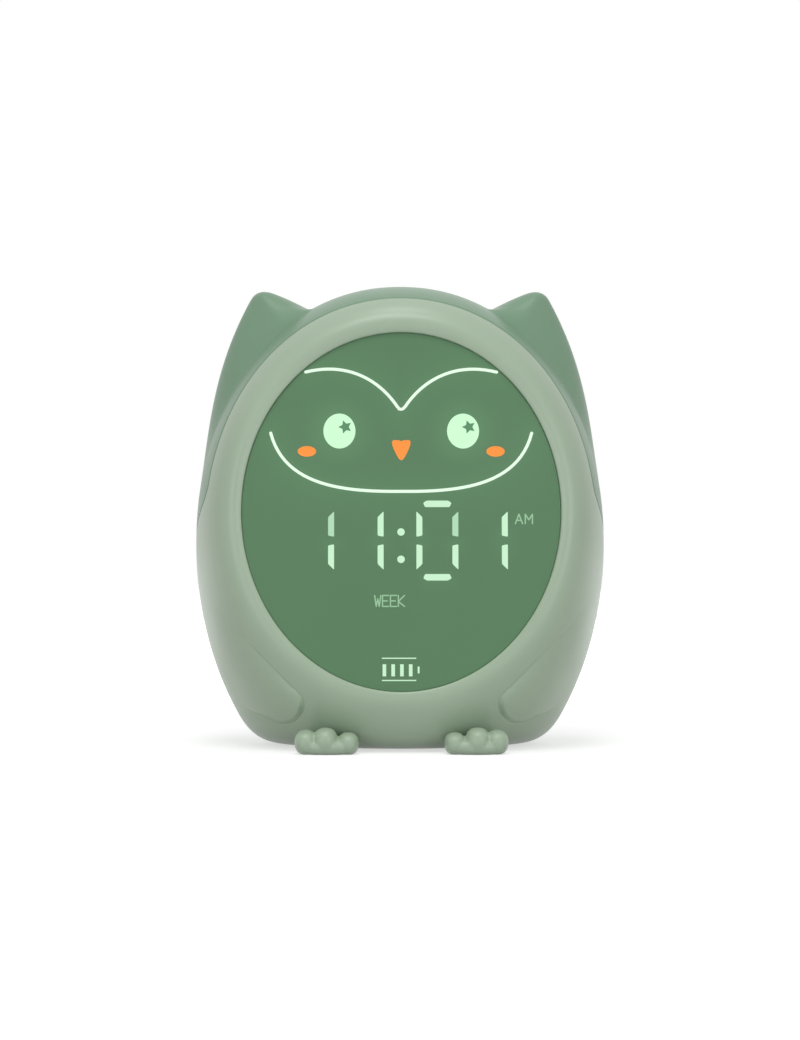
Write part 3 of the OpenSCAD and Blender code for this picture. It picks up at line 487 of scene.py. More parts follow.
# the lens also glows a little where its mesh's glow attribute says so
def tintedLens(name, colour, glowColour):
    finish = Finish(name)
    glow = finish.node("ShaderNodeAttribute", {"attribute_name": "glow"}, output="Fac")
    patches = finish.noise(lensLook["patches"])
    finish.set(
        Colour=mottled(finish, finish.noise(lensLook["clouds"]), colour, lensLook),
        Glow=finish.mix(glow, (0, 0, 0), glowColour),
        GlowStrength=1.0,
        Roughness=patches * lensLook["glossSpread"] + lensLook["roughness"],
        Reflect=lensLook["gloss"],
        CoatWeight=lensLook["coat"],
        CoatRoughness=lensLook["coatRoughness"],
    )
    return finish.material


tones = {
    "sage": srgb(163, 183, 159),
    "deepSage": srgb(124, 155, 129),
    "lens": srgb(90, 130, 94),
    "glow": srgb(60, 92, 62),
}
finishes = {
    "sage_plastic": mouldedPlastic("sage moulded plastic", tones["sage"]),
    "deep_sage_plastic": mouldedPlastic("deep sage moulded plastic", tones["deepSage"], gloss=0.16),
    "tinted_lens": tintedLens("tinted lens", tones["lens"], tones["glow"]),
    "printed_film": mouldedPlastic("printed film", shade(tones["lens"], 0.7), 0.3),
    "milky_sheet": mouldedPlastic("milky sheet", srgb(232, 246, 234), 0.5),
    "white_plastic": mouldedPlastic("white plastic", srgb(240, 240, 236), 0.45),
    "foam_tape": softRubber("foam tape", srgb(40, 40, 42)),
    "circuit_board": circuitLacquer("circuit lacquer", srgb(28, 96, 62)),
    "led_resin": mouldedPlastic("diode resin", srgb(246, 240, 190), 0.2),
    "black_plastic": mouldedPlastic("black plastic", srgb(46, 48, 50), 0.4),
    "screw_steel": turnedSteel("screw steel", srgb(200, 202, 205)),
    "ribbon": mouldedPlastic("ribbon cable", srgb(236, 230, 214), 0.4),
    "key_rubber": softRubber("key rubber", srgb(222, 234, 218)),
    "ivory_plastic": mouldedPlastic("ivory plastic", srgb(238, 232, 210), 0.4),
    "ferrite": mouldedPlastic("pressed ferrite", srgb(58, 58, 60), 0.6),
    "cone_paper": softRubber("cone paper", srgb(62, 62, 64)),
    "copper_wire": turnedSteel("copper wire", srgb(200, 130, 84)),
    "cell_wrap": mouldedPlastic("cell sleeve", srgb(58, 104, 180), 0.25),
    "lead_vinyl": softRubber("lead vinyl", srgb(170, 50, 46)),
    "pad_rubber": softRubber("pad rubber", srgb(146, 166, 142)),
}
litFinishes = {
    "line": litInk("lit line", srgb(226, 248, 226)),
    "eye": litInk("lit eye", srgb(202, 245, 205)),
    "orange": litInk("lit orange", srgb(250, 150, 70), 0.95),
    "digit": litInk("lit digit", srgb(196, 235, 200)),
    "dim": litInk("dim digit", srgb(172, 214, 179)),
    "faint": litInk("faint print", srgb(150, 192, 154)),
    "star": litInk("star pupil", srgb(92, 140, 102)),
}
for row in frame["record"]["subparts"]:
    mesh = frame["nodes"][row["node"]].data
    mesh.materials.clear()
    mesh.materials.append(finishes[row["material_slot"]])
print("finishes made:", len(finishes) + len(litFinishes))


def finishPiece(bm, name, slot, body="casing", replaced=(), material=None, sharpAt=38):
    bmesh.ops.recalc_face_normals(bm, faces=bm.faces)
    for face in bm.faces:
        face.smooth = True
    mesh = bpy.data.meshes.new(name)
    bm.to_mesh(mesh)
    bm.free()
    mesh.set_sharp_from_angle(angle=radians(sharpAt))
    mesh.materials.append(material or finishes[slot])
    piece = bpy.data.objects.new(name, mesh)
    bpy.context.scene.collection.objects.link(piece)
    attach(piece, body)
    if replaced:
        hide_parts(*replaced)
    return piece


shellMesh = {
    "columns": 540,
    "frontRows": 80,
    "rearRows": 110,
    "insideRows": 10,
    "insideFront": -0.84,  # how near the inner walls come to the face opening and the panel
    "insideRear": 0.9,
    "ledgeRoot": 2.0,
    "edgeRound": 0.3,  # the rounded edges at the parting line, with the bend's place
    "edgeAlong": 0.35,
    "edgeInwards": 0.06,
    "edgeShare": 0.006,
    "lip": 0.45,  # the rounded edge at the face opening
    "lipShare": 0.012,
    "lipSteps": 5,
    "wingCuts": 3,
    "wingZone": 2.2,
    "weld": 0.001,
}
notOnSkin = -9.0


# a grid bent into a closed shell: each section is a row of points, and the sections go round the object
def bendShell(sections, closedAcross=True, marks=None):
    columns = len(sections)
    rows = len(sections[0])
    bm = bmesh.new()
    across = rows if closedAcross else rows - 1
    bmesh.ops.create_grid(bm, x_segments=across, y_segments=columns, size=1)
    around = bm.verts.layers.float.new("around")
    along = bm.verts.layers.float.new("along")
    for vert in bm.verts:
        j = round((vert.co.x + 1) / 2 * across) % rows
        i = round((vert.co.y + 1) / 2 * columns) % columns
        vert.co = sections[i][j] * mm
        if marks:
            vert[around], vert[along] = marks(i, j)
    bmesh.ops.remove_doubles(bm, verts=bm.verts, dist=shellMesh["weld"] * mm)
    return bm


# the rounded edge at the parting line: a point on its flat and one on its bend; side is -1 for the front
def seamEdge(u, w, side):
    outer = skin(u, w)
    inward = skinInside(u, w, 1) - skin(u, w, True)
    shift = side * bodyForm["seamGap"] / 2
    flat = toSeam(outer + inward * shellMesh["edgeRound"], shift)
    bend = toSeam(outer, shift + side * shellMesh["edgeRound"] * shellMesh["edgeAlong"])
    return flat, bend + inward * shellMesh["edgeInwards"]


def insideRow(u, start, end):
    rows = shellMesh["insideRows"]
    return [skinInside(u, between(start, end, j / rows), bodyForm["wall"]) for j in range(rows + 1)]


def frontShare(seam, j):
    return between(-1 + shellMesh["lipShare"], seam, j / shellMesh["frontRows"])


# over the skin to the parting line, back inside to the lens's ledge and out over the opening's lip
def frontSection(u, w):
    flat, bend = seamEdge(u, w, -1)
    inside = insideRow(u, w, shellMesh["insideFront"])
    inside[0] = toSeam(inside[0], -bodyForm["seamGap"] / 2)
    ledgeFront = -(faceForm["lensSet"] + faceForm["lensThick"] + faceForm["tapeThick"])
    ledgeBack = ledgeFront - faceForm["ledgeThick"]
    lipFoot = facePoint(u, 0, -shellMesh["lip"])
    points = [skin(u, frontShare(w, j)) for j in range(shellMesh["frontRows"])]
    points += [bend, flat, *inside]
    points += [
        facePoint(u, shellMesh["ledgeRoot"], ledgeBack),
        facePoint(u, -faceForm["ledgeWide"], ledgeBack),
        facePoint(u, -faceForm["ledgeWide"], ledgeFront),
        facePoint(u, 0, ledgeFront),
        lipFoot,
    ]
    corner = facePoint(u, 0, 0)
    for k in range(1, shellMesh["lipSteps"]):
        t = k / shellMesh["lipSteps"]
        points.append(lipFoot * (1 - t) ** 2 + corner * (2 * t * (1 - t)) + points[0] * t * t)
    return points


# from the parting line over the skin to the panel's ledge and back inside
def rearSection(u):
    w = seamAt(u, bodyForm["seamGap"] / 2)
    flat, bend = seamEdge(u, w, 1)
    inside = insideRow(u, shellMesh["insideRear"], w)
    inside[-1] = toSeam(inside[-1], bodyForm["seamGap"] / 2)
    ledgeFront = -panelForm["thick"]
    ledgeBack = ledgeFront - faceForm["ledgeThick"]
    rows = shellMesh["rearRows"]
    points = [flat, bend]
    points += [skin(u, between(w + shellMesh["edgeShare"], 1, j / rows)) for j in range(rows + 1)]
    points += [
        panelPoint(u, 0, ledgeFront),
        panelPoint(u, -panelForm["ledgeWide"], ledgeFront),
        panelPoint(u, -panelForm["ledgeWide"], ledgeBack),
        panelPoint(u, shellMesh["ledgeRoot"], ledgeBack),
    ]
    return points + inside


# the wings' edges need a finer mesh than the rest: new vertices go back onto the surface
def cutWingsFiner(bm):
    around = bm.verts.layers.float["around"]
    along = bm.verts.layers.float["along"]

    def atWing(vert):
        x, y, z = vert.co / mm
        return y < wingForm["fadeY"] and abs(wingPlace(x, z)[0]) < shellMesh["wingZone"]

    near = {vert for vert in bm.verts if vert[along] > notOnSkin and atWing(vert)}
    edges = [edge for edge in bm.edges if edge.verts[0] in near or edge.verts[1] in near]
    edges = [edge for edge in edges if min(edge.verts[0][along], edge.verts[1][along]) > notOnSkin]
    made = bmesh.ops.subdivide_edges(bm, edges=edges, cuts=shellMesh["wingCuts"], use_grid_fill=True)
    for vert in (g for g in made["geom_inner"] if isinstance(g, bmesh.types.BMVert)):
        vert.co = skin(vert[around], vert[along]) * mm


def makeShells():
    columns = shellMesh["columns"]
    angles = [360 * (i + 0.5) / columns - 90 for i in range(columns)]
    seams = [seamAt(u, -bodyForm["seamGap"] / 2) for u in angles]

    def marks(i, j):
        return angles[i], frontShare(seams[i], j) if j < shellMesh["frontRows"] else notOnSkin

    bm = bendShell([frontSection(u, w) for u, w in zip(angles, seams)], marks=marks)
    cutWingsFiner(bm)
    front = finishPiece(bm, "frontShell", "sage_plastic", replaced=["front_shell"])
    bm = bendShell([rearSection(u) for u in angles])
    rear = finishPiece(bm, "rearShell", "deep_sage_plastic", replaced=["rear_shell"])
    print("shells made:", len(front.data.polygons), len(rear.data.polygons))


makeShells()

# the lit drawing lies in the face's plane: x to the right and v up from its middle
brow = ((0, 28.9), (4.5, 37), (14, 44.5), (28, 41))
smile = ((0, 5.85), (16, 5.75), (34, 7), (38.2, 23))
beakHalf = [
    (0, 20.5), (0.45, 20.85), (2.3, 20.95), (2.75, 20.5), (2.6, 19.4),
    (2.15, 18.2), (1.5, 16.8), (0.7, 15.4), (0, 14.95),
]
drawing = {
    "lineWidth": 0.9,
    "eye": (18.1, 23.6),
    "eyeRadii": (4.7, 5.15),
    "starShift": (1.7, 1.2),
    "starRadius": 2.05,
    "starInner": 0.5,
    "starTurn": 108,
    "cheek": (27.6, 17.6),
    "cheekRadii": (2.7, 1.55),
    "proud": 0.03,
    "thick": 0.05,
}
digitForm = {
    "height": 21.5,
    "width": 10.5,
    "step": 14.45,
    "pairStep": 21.82,
    "segment": 1.75,
    "gap": 2.2,
    "slant": 1.7,
    "tuck": 0.35,
    "rounding": 0.3,
    "end": ((-3.1, 0.95), (3.1, 0.95), (4.15, 0.3), (3.6, -0.95), (-3.6, -0.95), (-4.15, 0.3)),
    "middleX": -0.4,
    "middleV": -8.55,
    "colonX": -0.1,
    "colonV": (-6.05, -14.05),
    "colonRadius": 1.1,
}
# strokes of the small words, on a cell one unit wide and one unit high
letterStrokes = {
    "A": [((0, 0), (0.5, 1), (1, 0)), ((0.22, 0.35), (0.78, 0.35))],
    "M": [((0, 0), (0, 1), (0.5, 0.4), (1, 1), (1, 0))],
    "W": [((0, 1), (0.25, 0), (0.5, 0.7), (0.75, 0), (1, 1))],
    "E": [((1, 1), (0, 1), (0, 0), (1, 0)), ((0, 0.5), (0.8, 0.5))],
    "K": [((0, 0), (0, 1)), ((1, 1), (0, 0.45), (1, 0))],
}
wordPlaces = {
    "AM": {"left": 33.3, "low": -3.6, "cell": (2.1, 2.75), "step": 2.9, "line": 0.38},
    "WEEK": {"left": -7.8, "low": -27.8, "cell": (1.8, 3.2), "step": 2.3, "line": 0.36},
}
battery = {
    "bars": (-5.5, -2.95, -0.4, 2.15),
    "barSize": (1.05, 3.5),
    "barLow": -48.15,
    "rail": (-5.7, 4.3),
    "railLevels": (-42.9, -49.35),
    "railHalf": 0.17,
    "nub": (4.7, -47.3, 0.55, 2.0),
}


def curvePoints(handles, steps=24):
    flat = [Vector((x, 0, v)) for x, v in handles]
    return [bezier(flat, k / steps).xz for k in range(steps + 1)]


def faceMatrix(h):
    place = onFace(0, 0, h) * mm
    return Matrix.Translation(place) @ Matrix.Rotation(-radians(faceForm["tilt"]), 4, "X")


# a flat shape from its outline, its corners rounded, thickened backwards
def flatShape(bm, outline, thick, rounding=0):
    before = set(bm.faces)
    corners = [bm.verts.new((x * mm, 0, v * mm)) for x, v in outline]
    bm.faces.new(corners)
    if rounding:
        bmesh.ops.bevel(bm, geom=corners, offset=rounding * mm, offset_type="OFFSET", segments=3,
                        profile=0.5, affect="VERTICES", material=-1, clamp_overlap=True)
    face = next(face for face in bm.faces if face not in before)
    made = bmesh.ops.extrude_face_region(bm, geom=[face])
    moved = [g for g in made["geom"] if isinstance(g, bmesh.types.BMVert)]
    bmesh.ops.translate(bm, verts=moved, vec=(0, thick * mm, 0))


# a band of even width along points, with round ends
def bandOutline(points, width):
    left, right = [], []
    for k, p in enumerate(points):
        ahead = points[min(k + 1, len(points) - 1)] - points[max(k - 1, 0)]
        normal = Vector((-ahead.y, ahead.x)).normalized() * width / 2
        left.append(p + normal)
        right.append(p - normal)

    def cap(end, before, side):
        out = (end - before).normalized() * width / 2
        return [end + (side - end) * cos(a) + out * sin(a) for a in (pi / 4, pi / 2, 3 * pi / 4)]

    capEnd = cap(points[-1], points[-2], left[-1])
    return left + capEnd + right[::-1] + cap(points[0], points[1], right[0])


def ovalOutline(centre, radii, steps=48):
    points = (ovalPoint(*radii, 360 * k / steps) for k in range(steps))
    return [(centre[0] + x, centre[1] + v) for x, v in points]


def starOutline(centre):
    reaches = (drawing["starRadius"], drawing["starRadius"] * drawing["starInner"])
    points = (ovalPoint(reaches[k % 2], reaches[k % 2], drawing["starTurn"] + 36 * k) for k in range(10))
    return [(centre[0] + x, centre[1] + v) for x, v in points]


def rectangle(left, low, wide, high):
    return [(left, low), (left + wide, low), (left + wide, low + high), (left, low + high)]


def mirrored(outline):
    return [(-x, v) for x, v in outline][::-1]


# a drawn half line and its mirror image, which meet in a small round
def lineOutline(handles):
    points = curvePoints(handles)
    whole = [Vector((-p.x, p.y)) for p in points[:0:-1]] + points
    middle = len(points) - 1
    for near in (1, 0, 1, 0):
        for k in range(middle - near, middle + near + 1):
            whole[k] = (whole[k - 1] + whole[k] * 2 + whole[k + 1]) / 4
    return bandOutline(whole, drawing["lineWidth"])


# a digit's upright segments on the given sides, upper before lower, then its two end segments
def digitOutlines(x, sides, ends):
    low, high = digitForm["gap"] / 2, digitForm["height"] / 2 - digitForm["gap"]
    cut, tuck, slant = digitForm["segment"] / 2, digitForm["tuck"], digitForm["slant"]
    upright = ((-cut, low + tuck), (cut, low), (cut, high), (-cut, high - slant))
    middle = digitForm["middleV"]
    outlines = []
    for side in sides:
        edge = x + side * digitForm["width"] / 2
        for half in (1, -1):
            outlines.append([(edge + side * a, middle + half * v) for a, v in upright])
    if ends:
        level = digitForm["height"] / 2
        for half in (1, -1):
            outlines.append([(x + a, middle + half * (level + v)) for a, v in digitForm["end"]])
    return outlines


def wordOutlines(word):
    place = wordPlaces[word]
    wide, high = place["cell"]
    outlines = []
    for k, letter in enumerate(word):
        left = place["left"] + k * place["step"]
        for stroke in letterStrokes[letter]:
            points = [Vector((left + x * wide, place["low"] + v * high)) for x, v in stroke]
            outlines += [bandOutline(pair, place["line"]) for pair in zip(points, points[1:])]
    return outlines


def batteryOutlines():
    bars = [rectangle(x, battery["barLow"], *battery["barSize"]) for x in battery["bars"]]
    half = battery["railHalf"]
    start, end = battery["rail"]
    rails = [rectangle(start, v - half, end - start, 2 * half) for v in battery["railLevels"]]
    return bars + rails + [rectangle(*battery["nub"])]


def makeLit(name, outlines, finish, layer=1, rounding=0):
    bm = bmesh.new()
    for outline in outlines:
        flatShape(bm, outline, drawing["thick"], rounding)
    height = layer * drawing["proud"] - faceForm["lensSet"]
    bmesh.ops.transform(bm, matrix=faceMatrix(height), verts=bm.verts)
    finishPiece(bm, name, "tinted_lens", material=litFinishes[finish])


def makeFace():
    makeLit("browLine", [lineOutline(brow)], "line")
    makeLit("smileLine", [lineOutline(smile)], "line")
    eyeX, eyeV = drawing["eye"]
    eyes = [ovalOutline((side * eyeX, eyeV), drawing["eyeRadii"]) for side in (-1, 1)]
    makeLit("eyes", eyes, "eye")
    shiftX, shiftV = drawing["starShift"]
    stars = [starOutline((side * eyeX + shiftX, eyeV + shiftV)) for side in (-1, 1)]
    makeLit("starPupils", stars, "star", layer=2)
    cheekX, cheekV = drawing["cheek"]
    cheeks = [ovalOutline((side * cheekX, cheekV), drawing["cheekRadii"]) for side in (-1, 1)]
    makeLit("cheeks", cheeks, "orange")
    makeLit("beak", [beakHalf + mirrored(beakHalf)[1:-1]], "orange")
    print("face drawn")


# 11:01; the zero's upper right segment and the first digit's upper one are dimmer
def makeDigits():
    pair = digitForm["pairStep"] / 2
    middle = digitForm["middleX"]
    ones = [middle - pair - digitForm["step"], middle - pair, middle + pair + digitForm["step"]]
    outlines = [outline for x in ones for outline in digitOutlines(x, (1,), False)]
    outlines += digitOutlines(middle + pair, (1, -1), True)
    dim = [outlines.pop(k) for k in (6, 0)]
    makeLit("dimDigits", dim, "dim", rounding=digitForm["rounding"])
    makeLit("digits", outlines, "digit", rounding=digitForm["rounding"])
    radius = digitForm["colonRadius"]
    dots = [ovalOutline((digitForm["colonX"], v), (radius, radius), 24) for v in digitForm["colonV"]]
    makeLit("colonDots", dots, "digit")
    print("digits made:", len(outlines) + len(dim), "segments")
    return outlines


makeFace()
litDigits = makeDigits()
makeLit("words", wordOutlines("AM") + wordOutlines("WEEK"), "faint")
makeLit("batterySign", batteryOutlines(), "digit")

# the light that each source spreads into the lens: its reach in millimetres and its level
glowForm = {
    "line": ((2.6, 0.24), (7.0, 0.15)),
    "lineSteps": 30,
    "eye": (8.0, 0.5),
    "cheek": (3.0, 0.15),
    "digit": (2.6, 0.16),
    "digitSteps": 4,
}
lensForm = {
    "gap": 0.05,
    "rings": 110,
    "ringPower": 0.8,
    "columns": 240,
    "edge": 0.12,
    "edgeBend": 0.3,
    "backRing": 2.0,
}


def glowSources():
    sources = []
    for side in (-1, 1):
        for handles in (brow, smile):
            for p in curvePoints(handles, glowForm["lineSteps"]):
                sources += [(side * p.x, p.y, *spread) for spread in glowForm["line"]]
        for part in ("eye", "cheek"):
            x, v = drawing[part]
            sources.append((side * x, v, *glowForm[part]))
    for outline in litDigits:
        (ax, av), (bx, bv) = outline[:2]
        for k in range(glowForm["digitSteps"] + 1):
            t = k / glowForm["digitSteps"]
            sources.append((between(ax, bx, t), between(av, bv, t), *glowForm["digit"]))
    return np.array(sources)


# from the middle of the front over its softened edge to the middle of the back
def makeLens():
    rx, rz = faceForm["rx"] - lensForm["gap"], faceForm["rz"] - lensForm["gap"]
    front = -faceForm["lensSet"]
    back = front - faceForm["lensThick"]
    edge, bend = lensForm["edge"], lensForm["edge"] * lensForm["edgeBend"]
    rings, columns = lensForm["rings"], lensForm["columns"]
    profile = [((k / rings) ** lensForm["ringPower"], 0, front) for k in range(rings)]
    profile += [(1, -edge, front), (1, -bend, front - bend), (1, 0, front - edge)]
    profile += [(1, 0, back), (1, -lensForm["backRing"], back), (0, 0, back)]
    sections = []
    for i in range(columns):
        section = []
        for share, inset, h in profile:
            x, v = ovalPoint(rx * share + inset, rz * share + inset, 360 * i / columns)
            section.append(onFace(x, v, h))
        sections.append(section)
    bm = bendShell(sections, closedAcross=False)
    piece = finishPiece(bm, "faceLens", "tinted_lens", replaced=["face_lens"], sharpAt=60)
    turned = faceMatrix(0).inverted()
    flat = np.array([(turned @ vert.co) / mm for vert in piece.data.vertices])
    x, v, reach, level = glowSources().T
    far = np.hypot(flat[:, None, 0] - x, flat[:, None, 2] - v) / reach
    light = (np.exp(-far**2) * level).max(axis=1)
    glow = piece.data.attributes.new("glow", "FLOAT", "POINT")
    glow.data.foreach_set("value", light.astype(np.float32))
    print("lens made:", len(piece.data.polygons))


makeLens()

# feet: three blunt toes on a front bar and a sole, melted together; the inner toe is the lowest
footForm = {
    "x": 21.7,
    "lumps": [  # outwards from the foot's middle, centre y and z, then half width, depth and height
        (6.1, -36.3, 3.5, 3.25, 5.1, 3.6),
        (0.4, -36.9, 3.8, 3.6, 5.2, 3.95),
        (-6.2, -36.3, 3.1, 3.1, 5.1, 3.25),
        (0, -36.6, 2.2, 9.1, 5.0, 2.5),
        (0, -30.5, 0.9, 8.6, 8.6, 1.5),
    ],
    "bluntness": 2.45,
    "ballCuts": 4,
    "voxel": 0.28,
    "smoothRounds": 12,
    "smoothFactor": 0.5,
}


def bluntBall(bm, centre, radii):
    bluntness = footForm["bluntness"]
    made = bmesh.ops.create_icosphere(bm, subdivisions=footForm["ballCuts"], radius=1)
    for vert in made["verts"]:
        size = sum(abs(c) ** bluntness for c in vert.co) ** (1 / bluntness)
        vert.co = Vector(c / size * r + m for c, r, m in zip(vert.co, radii, centre)) * mm


def makeFoot(name, side, replaced):
    bm = bmesh.new()
    for outwards, y, z, rx, ry, rz in footForm["lumps"]:
        bluntBall(bm, (side * (footForm["x"] + outwards), y, z), (rx, ry, rz))
    piece = finishPiece(bm, name, "sage_plastic", replaced=[replaced], sharpAt=180)
    melt = piece.modifiers.new("melt", "REMESH")
    melt.mode = "VOXEL"
    melt.voxel_size = footForm["voxel"] * mm
    melt.use_smooth_shade = True
    soften = piece.modifiers.new("soften", "SMOOTH")
    soften.factor = footForm["smoothFactor"]
    soften.iterations = footForm["smoothRounds"]
    bpy.context.view_layer.update()
    melted = piece.evaluated_get(bpy.context.evaluated_depsgraph_get())
    made = bpy.data.meshes.new_from_object(melted)
    piece.modifiers.clear()
    piece.data = made
    for vert in made.vertices:
        vert.co.z = max(vert.co.z, 0)


makeFoot("leftFoot", -1, "left_foot")
makeFoot("rightFoot", 1, "right_foot")
print("feet made")

# the back: a raised sign on each key, and on each screw head a black cross of painted shade, set where
# the shade inside a cross recess would be
keySigns = {
    "up": "cross",
    "down": "bar",
    "light": "disc",
    "alarm": "bell",
    "mode": "lines",
    "nap": "crescent",
}
signForm = {
    "arm": 1.35,
    "wide": 0.6,
    "foot": 0.5,  # how deep a sign starts below the highest point of its key, and where it ends
    "top": 0.12,
    "discShare": 0.75,
    "bellHalf": [(1.25, -0.75), (0.85, -0.35), (0.75, 0.45), (0.4, 0.95)],
    "lineWide": 0.4,
    "lineLevels": (-0.9, 0, 0.9),
    "moonArc": range(50, 311, 20),
    "biteShift": 0.55,  # the circle that is cut out of the crescent, as shares of the arm
    "biteRadius": 0.75,
    "biteArc": range(280, 79, -20),
}
# painted shade for the screw heads' cross recesses: a black cross that starts inside the head and stands
# just proud of it
screwRecessShade = {"arm": 1.25, "wide": 0.42, "sunk": 0.3, "proud": 0.02}


def crossOutline(arm, wide):
    w = wide / 2
    quarter = [(arm, -w), (arm, w), (w, w)]
    turns = ((1, 0), (0, 1), (-1, 0), (0, -1))
    return [(x * c - v * s, x * s + v * c) for c, s in turns for x, v in quarter]


def crescentOutline(arm):
    outer = [ovalPoint(arm, arm, u) for u in signForm["moonArc"]]
    radius = signForm["biteRadius"] * arm
    bite = [ovalPoint(radius, radius, u) for u in signForm["biteArc"]]
    return outer + [(signForm["biteShift"] * arm + x, v) for x, v in bite]


def signOutlines(sign):
    arm, wide = signForm["arm"], signForm["wide"]
    if sign == "cross":
        return [crossOutline(arm, wide)]
    if sign == "bar":
        return [rectangle(-arm, -wide / 2, 2 * arm, wide)]
    if sign == "disc":
        radius = arm * signForm["discShare"]
        return [ovalOutline((0, 0), (radius, radius), 28)]
    if sign == "bell":
        return [signForm["bellHalf"] + mirrored(signForm["bellHalf"])]
    if sign == "lines":
        wide = signForm["lineWide"]
        return [rectangle(-arm, v - wide / 2, 2 * arm, wide) for v in signForm["lineLevels"]]
    return [crescentOutline(arm)]


# a mark whose outline lies on the back at (x, z), from one depth y to another
def makeBackMark(name, outlines, place, span, slot, body, finish):
    start, end = span
    bm = bmesh.new()
    for outline in outlines:
        flatShape(bm, outline, end - start)
    bmesh.ops.translate(bm, verts=bm.verts, vec=Vector((place[0], start, place[1])) * mm)
    finishPiece(bm, name, slot, body, material=finishes[finish])


def middleOf(points):
    low, high = (Vector(pick(p[k] for p in points) for k in range(3)) for pick in (min, max))
    return (low.x + high.x) / 2, (low.z + high.z) / 2


def makeKeySigns():
    for key, sign in keySigns.items():
        corners = [Vector(corner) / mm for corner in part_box(f"{key}_key")]
        high = corners[1].y
        span = high - signForm["foot"], high - signForm["top"]
        makeBackMark(f"{key}Sign", signOutlines(sign), middleOf(corners), span, "key_rubber",
                     f"{key}_button", "pad_rubber")
    print("key signs made:", len(keySigns))


# a black cross of painted shade on each screw head, in place of a real cross recess
def makeScrewRecessShades():
    points = [vert.co / mm for vert in frame["nodes"]["panel_screws"].data.vertices]
    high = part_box("panel_screws")[1][1] / mm
    span = high - screwRecessShade["sunk"], high + screwRecessShade["proud"]
    corners = [(side, half) for side in (-1, 1) for half in (-1, 1)]
    for k, (side, half) in enumerate(corners):
        screw = [p for p in points if p.x * side > 0 and (p.z - panelForm["z"]) * half > 0]
        cross = [crossOutline(screwRecessShade["arm"], screwRecessShade["wide"])]
        # black plastic here is painted shade, the dark of a cross recess
        makeBackMark(f"screwRecessShade{k + 1}", cross, middleOf(screw), span, "screw_steel",
                     "casing", "black_plastic")
    print("screw crosses made:", len(corners))


makeKeySigns()
makeScrewRecessShades()

# the white stage, in metres: its floor keeps a soft shadow near the object and fades to white
floorForm = {
    "halfSize": 2.0,
    "glow": 0.6,
    "shadow": 0.6,
    "shadowFrom": 0.1,
    "shadowTo": 0.32,
    "bounce": 0.65,
}
worldLevel = 0.43
lamps = {
    "top": {"at": (-0.05, -0.5, 0.95), "size": 0.45, "power": 2.9},
    "overhead": {"at": (0, 0, 1.1), "size": 0.35, "power": 1.2},
    "left": {"at": (-0.45, -0.9, 0.15), "size": 0.5, "power": 1.5},
    "right": {"at": (0.45, -0.9, 0.2), "size": 0.5, "power": 1.6},
    "rear": {"at": (0, 1.1, 0.2), "size": 0.6, "power": 2.6},
}
lampAim = (0, 0, 0.07)
cameraSet = {  # in millimetres, apart from seesTo
    "distance": 900.0,
    "height": 68.0,
    "aside": -10.0,
    "frameWidth": 243.14,
    "sensor": 36.0,
    "seesTo": 20.0,
}


# 1 for the rays that see plain white surroundings: the camera's own and those in gloss and in glass
def whiteRays(tree):
    kinds = ("Camera", "Glossy", "Transmission")
    camera, gloss, glass = (
        addNode(tree, "ShaderNodeLightPath", output=f"Is {kind} Ray") for kind in kinds
    )
    return camera.maths("MAXIMUM", camera.maths("MAXIMUM", camera, gloss), glass)


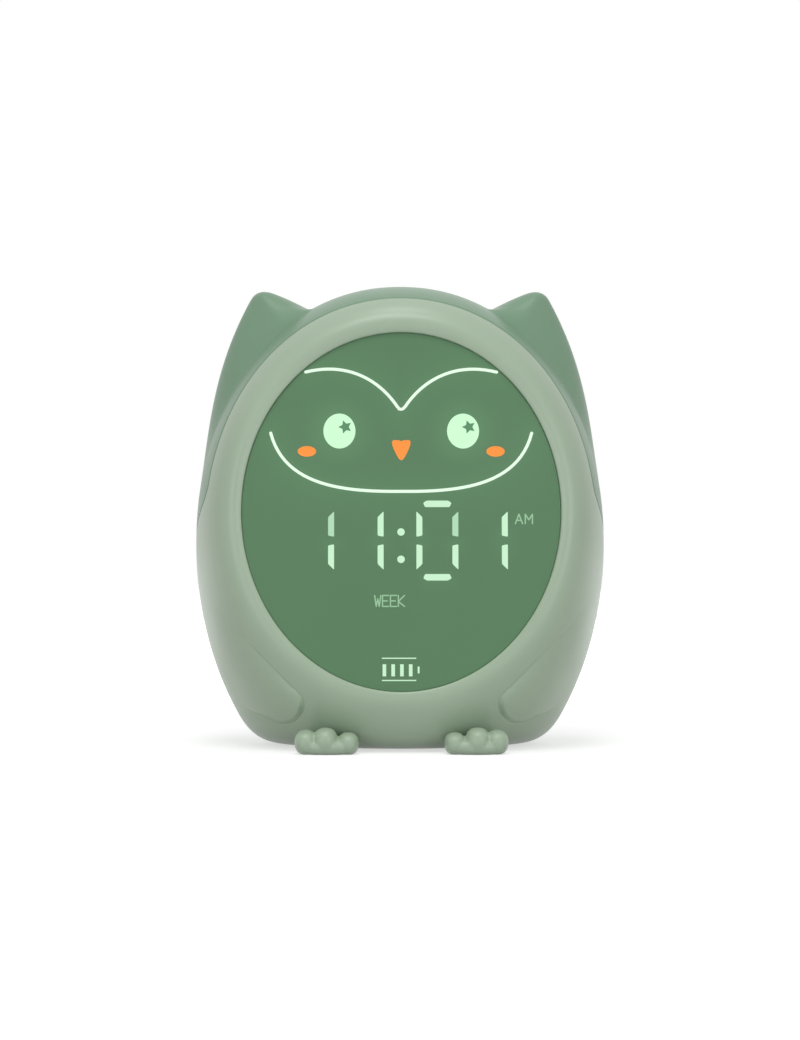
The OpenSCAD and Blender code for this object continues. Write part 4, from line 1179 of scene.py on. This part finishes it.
def makeStage():
    bm = bmesh.new()
    bmesh.ops.create_grid(bm, x_segments=1, y_segments=1, size=floorForm["halfSize"])
    mesh = bpy.data.meshes.new("floor")
    bm.to_mesh(mesh)
    bm.free()
    floor = bpy.data.objects.new("floor", mesh)
    bpy.context.scene.collection.objects.link(floor)
    finish = Finish("pale floor")
    away = finish.node("ShaderNodeVectorMath", {"operation": "LENGTH"}, {0: finish.place()}, "Value")
    inputs = {
        "Value": away,
        "From Min": floorForm["shadowFrom"],
        "From Max": floorForm["shadowTo"],
        "To Min": floorForm["glow"],
        "To Max": 1.0,
    }
    fade = finish.node("ShaderNodeMapRange", {"interpolation_type": "SMOOTHSTEP"}, inputs)
    seen = finish.node("ShaderNodeEmission", inputs={"Strength": fade})
    greys = ((floorForm[key],) * 3 for key in ("shadow", "bounce"))
    shadowed, bounce = (finish.node("ShaderNodeBsdfDiffuse", inputs={"Color": grey}) for grey in greys)
    both = finish.node("ShaderNodeAddShader", inputs={0: seen, 1: shadowed})
    chosen = finish.node("ShaderNodeMixShader", inputs={0: whiteRays(finish.tree), 1: bounce, 2: both})
    plugIn(finish.tree, finish.tree.nodes["Material Output"].inputs["Surface"], chosen)
    mesh.materials.append(finish.material)


def makeWorld(level):
    world = bpy.data.worlds.new("studio")
    world.use_nodes = True
    bpy.context.scene.world = world
    tree = world.node_tree
    background = tree.nodes["Background"]
    plugIn(tree, background.inputs["Strength"], whiteRays(tree) * (1 - level) + level)
    plugIn(tree, background.inputs["Color"], (1, 1, 1))


def makeLamps():
    for name, lamp in lamps.items():
        data = bpy.data.lights.new(name, "AREA")
        data.shape = "DISK"
        data.size = lamp["size"]
        data.energy = lamp["power"]
        light = bpy.data.objects.new(name, data)
        light.location = lamp["at"]
        aim = Vector(lampAim) - light.location
        light.rotation_euler = aim.to_track_quat("-Z", "Y").to_euler()
        light.visible_glossy = name != "rear"
        bpy.context.scene.collection.objects.link(light)


def makeCamera():
    aside, distance = cameraSet["aside"], cameraSet["distance"]
    data = bpy.data.cameras.new("camera")
    data.sensor_fit = "HORIZONTAL"
    data.sensor_width = cameraSet["sensor"]
    data.lens = cameraSet["sensor"] * distance / cameraSet["frameWidth"]
    data.clip_end = cameraSet["seesTo"]
    camera = bpy.data.objects.new("camera", data)
    camera.location = Vector((aside, bodyForm["waistY"] - distance, cameraSet["height"])) * mm
    camera.rotation_euler = (pi / 2, 0, atan2(aside, distance))
    bpy.context.scene.collection.objects.link(camera)
    bpy.context.scene.camera = camera


makeStage()
makeWorld(worldLevel)
makeLamps()
makeCamera()
bpy.context.scene.view_settings.view_transform = "Standard"
print("stage, light and camera made")

bpy.context.view_layer.update()
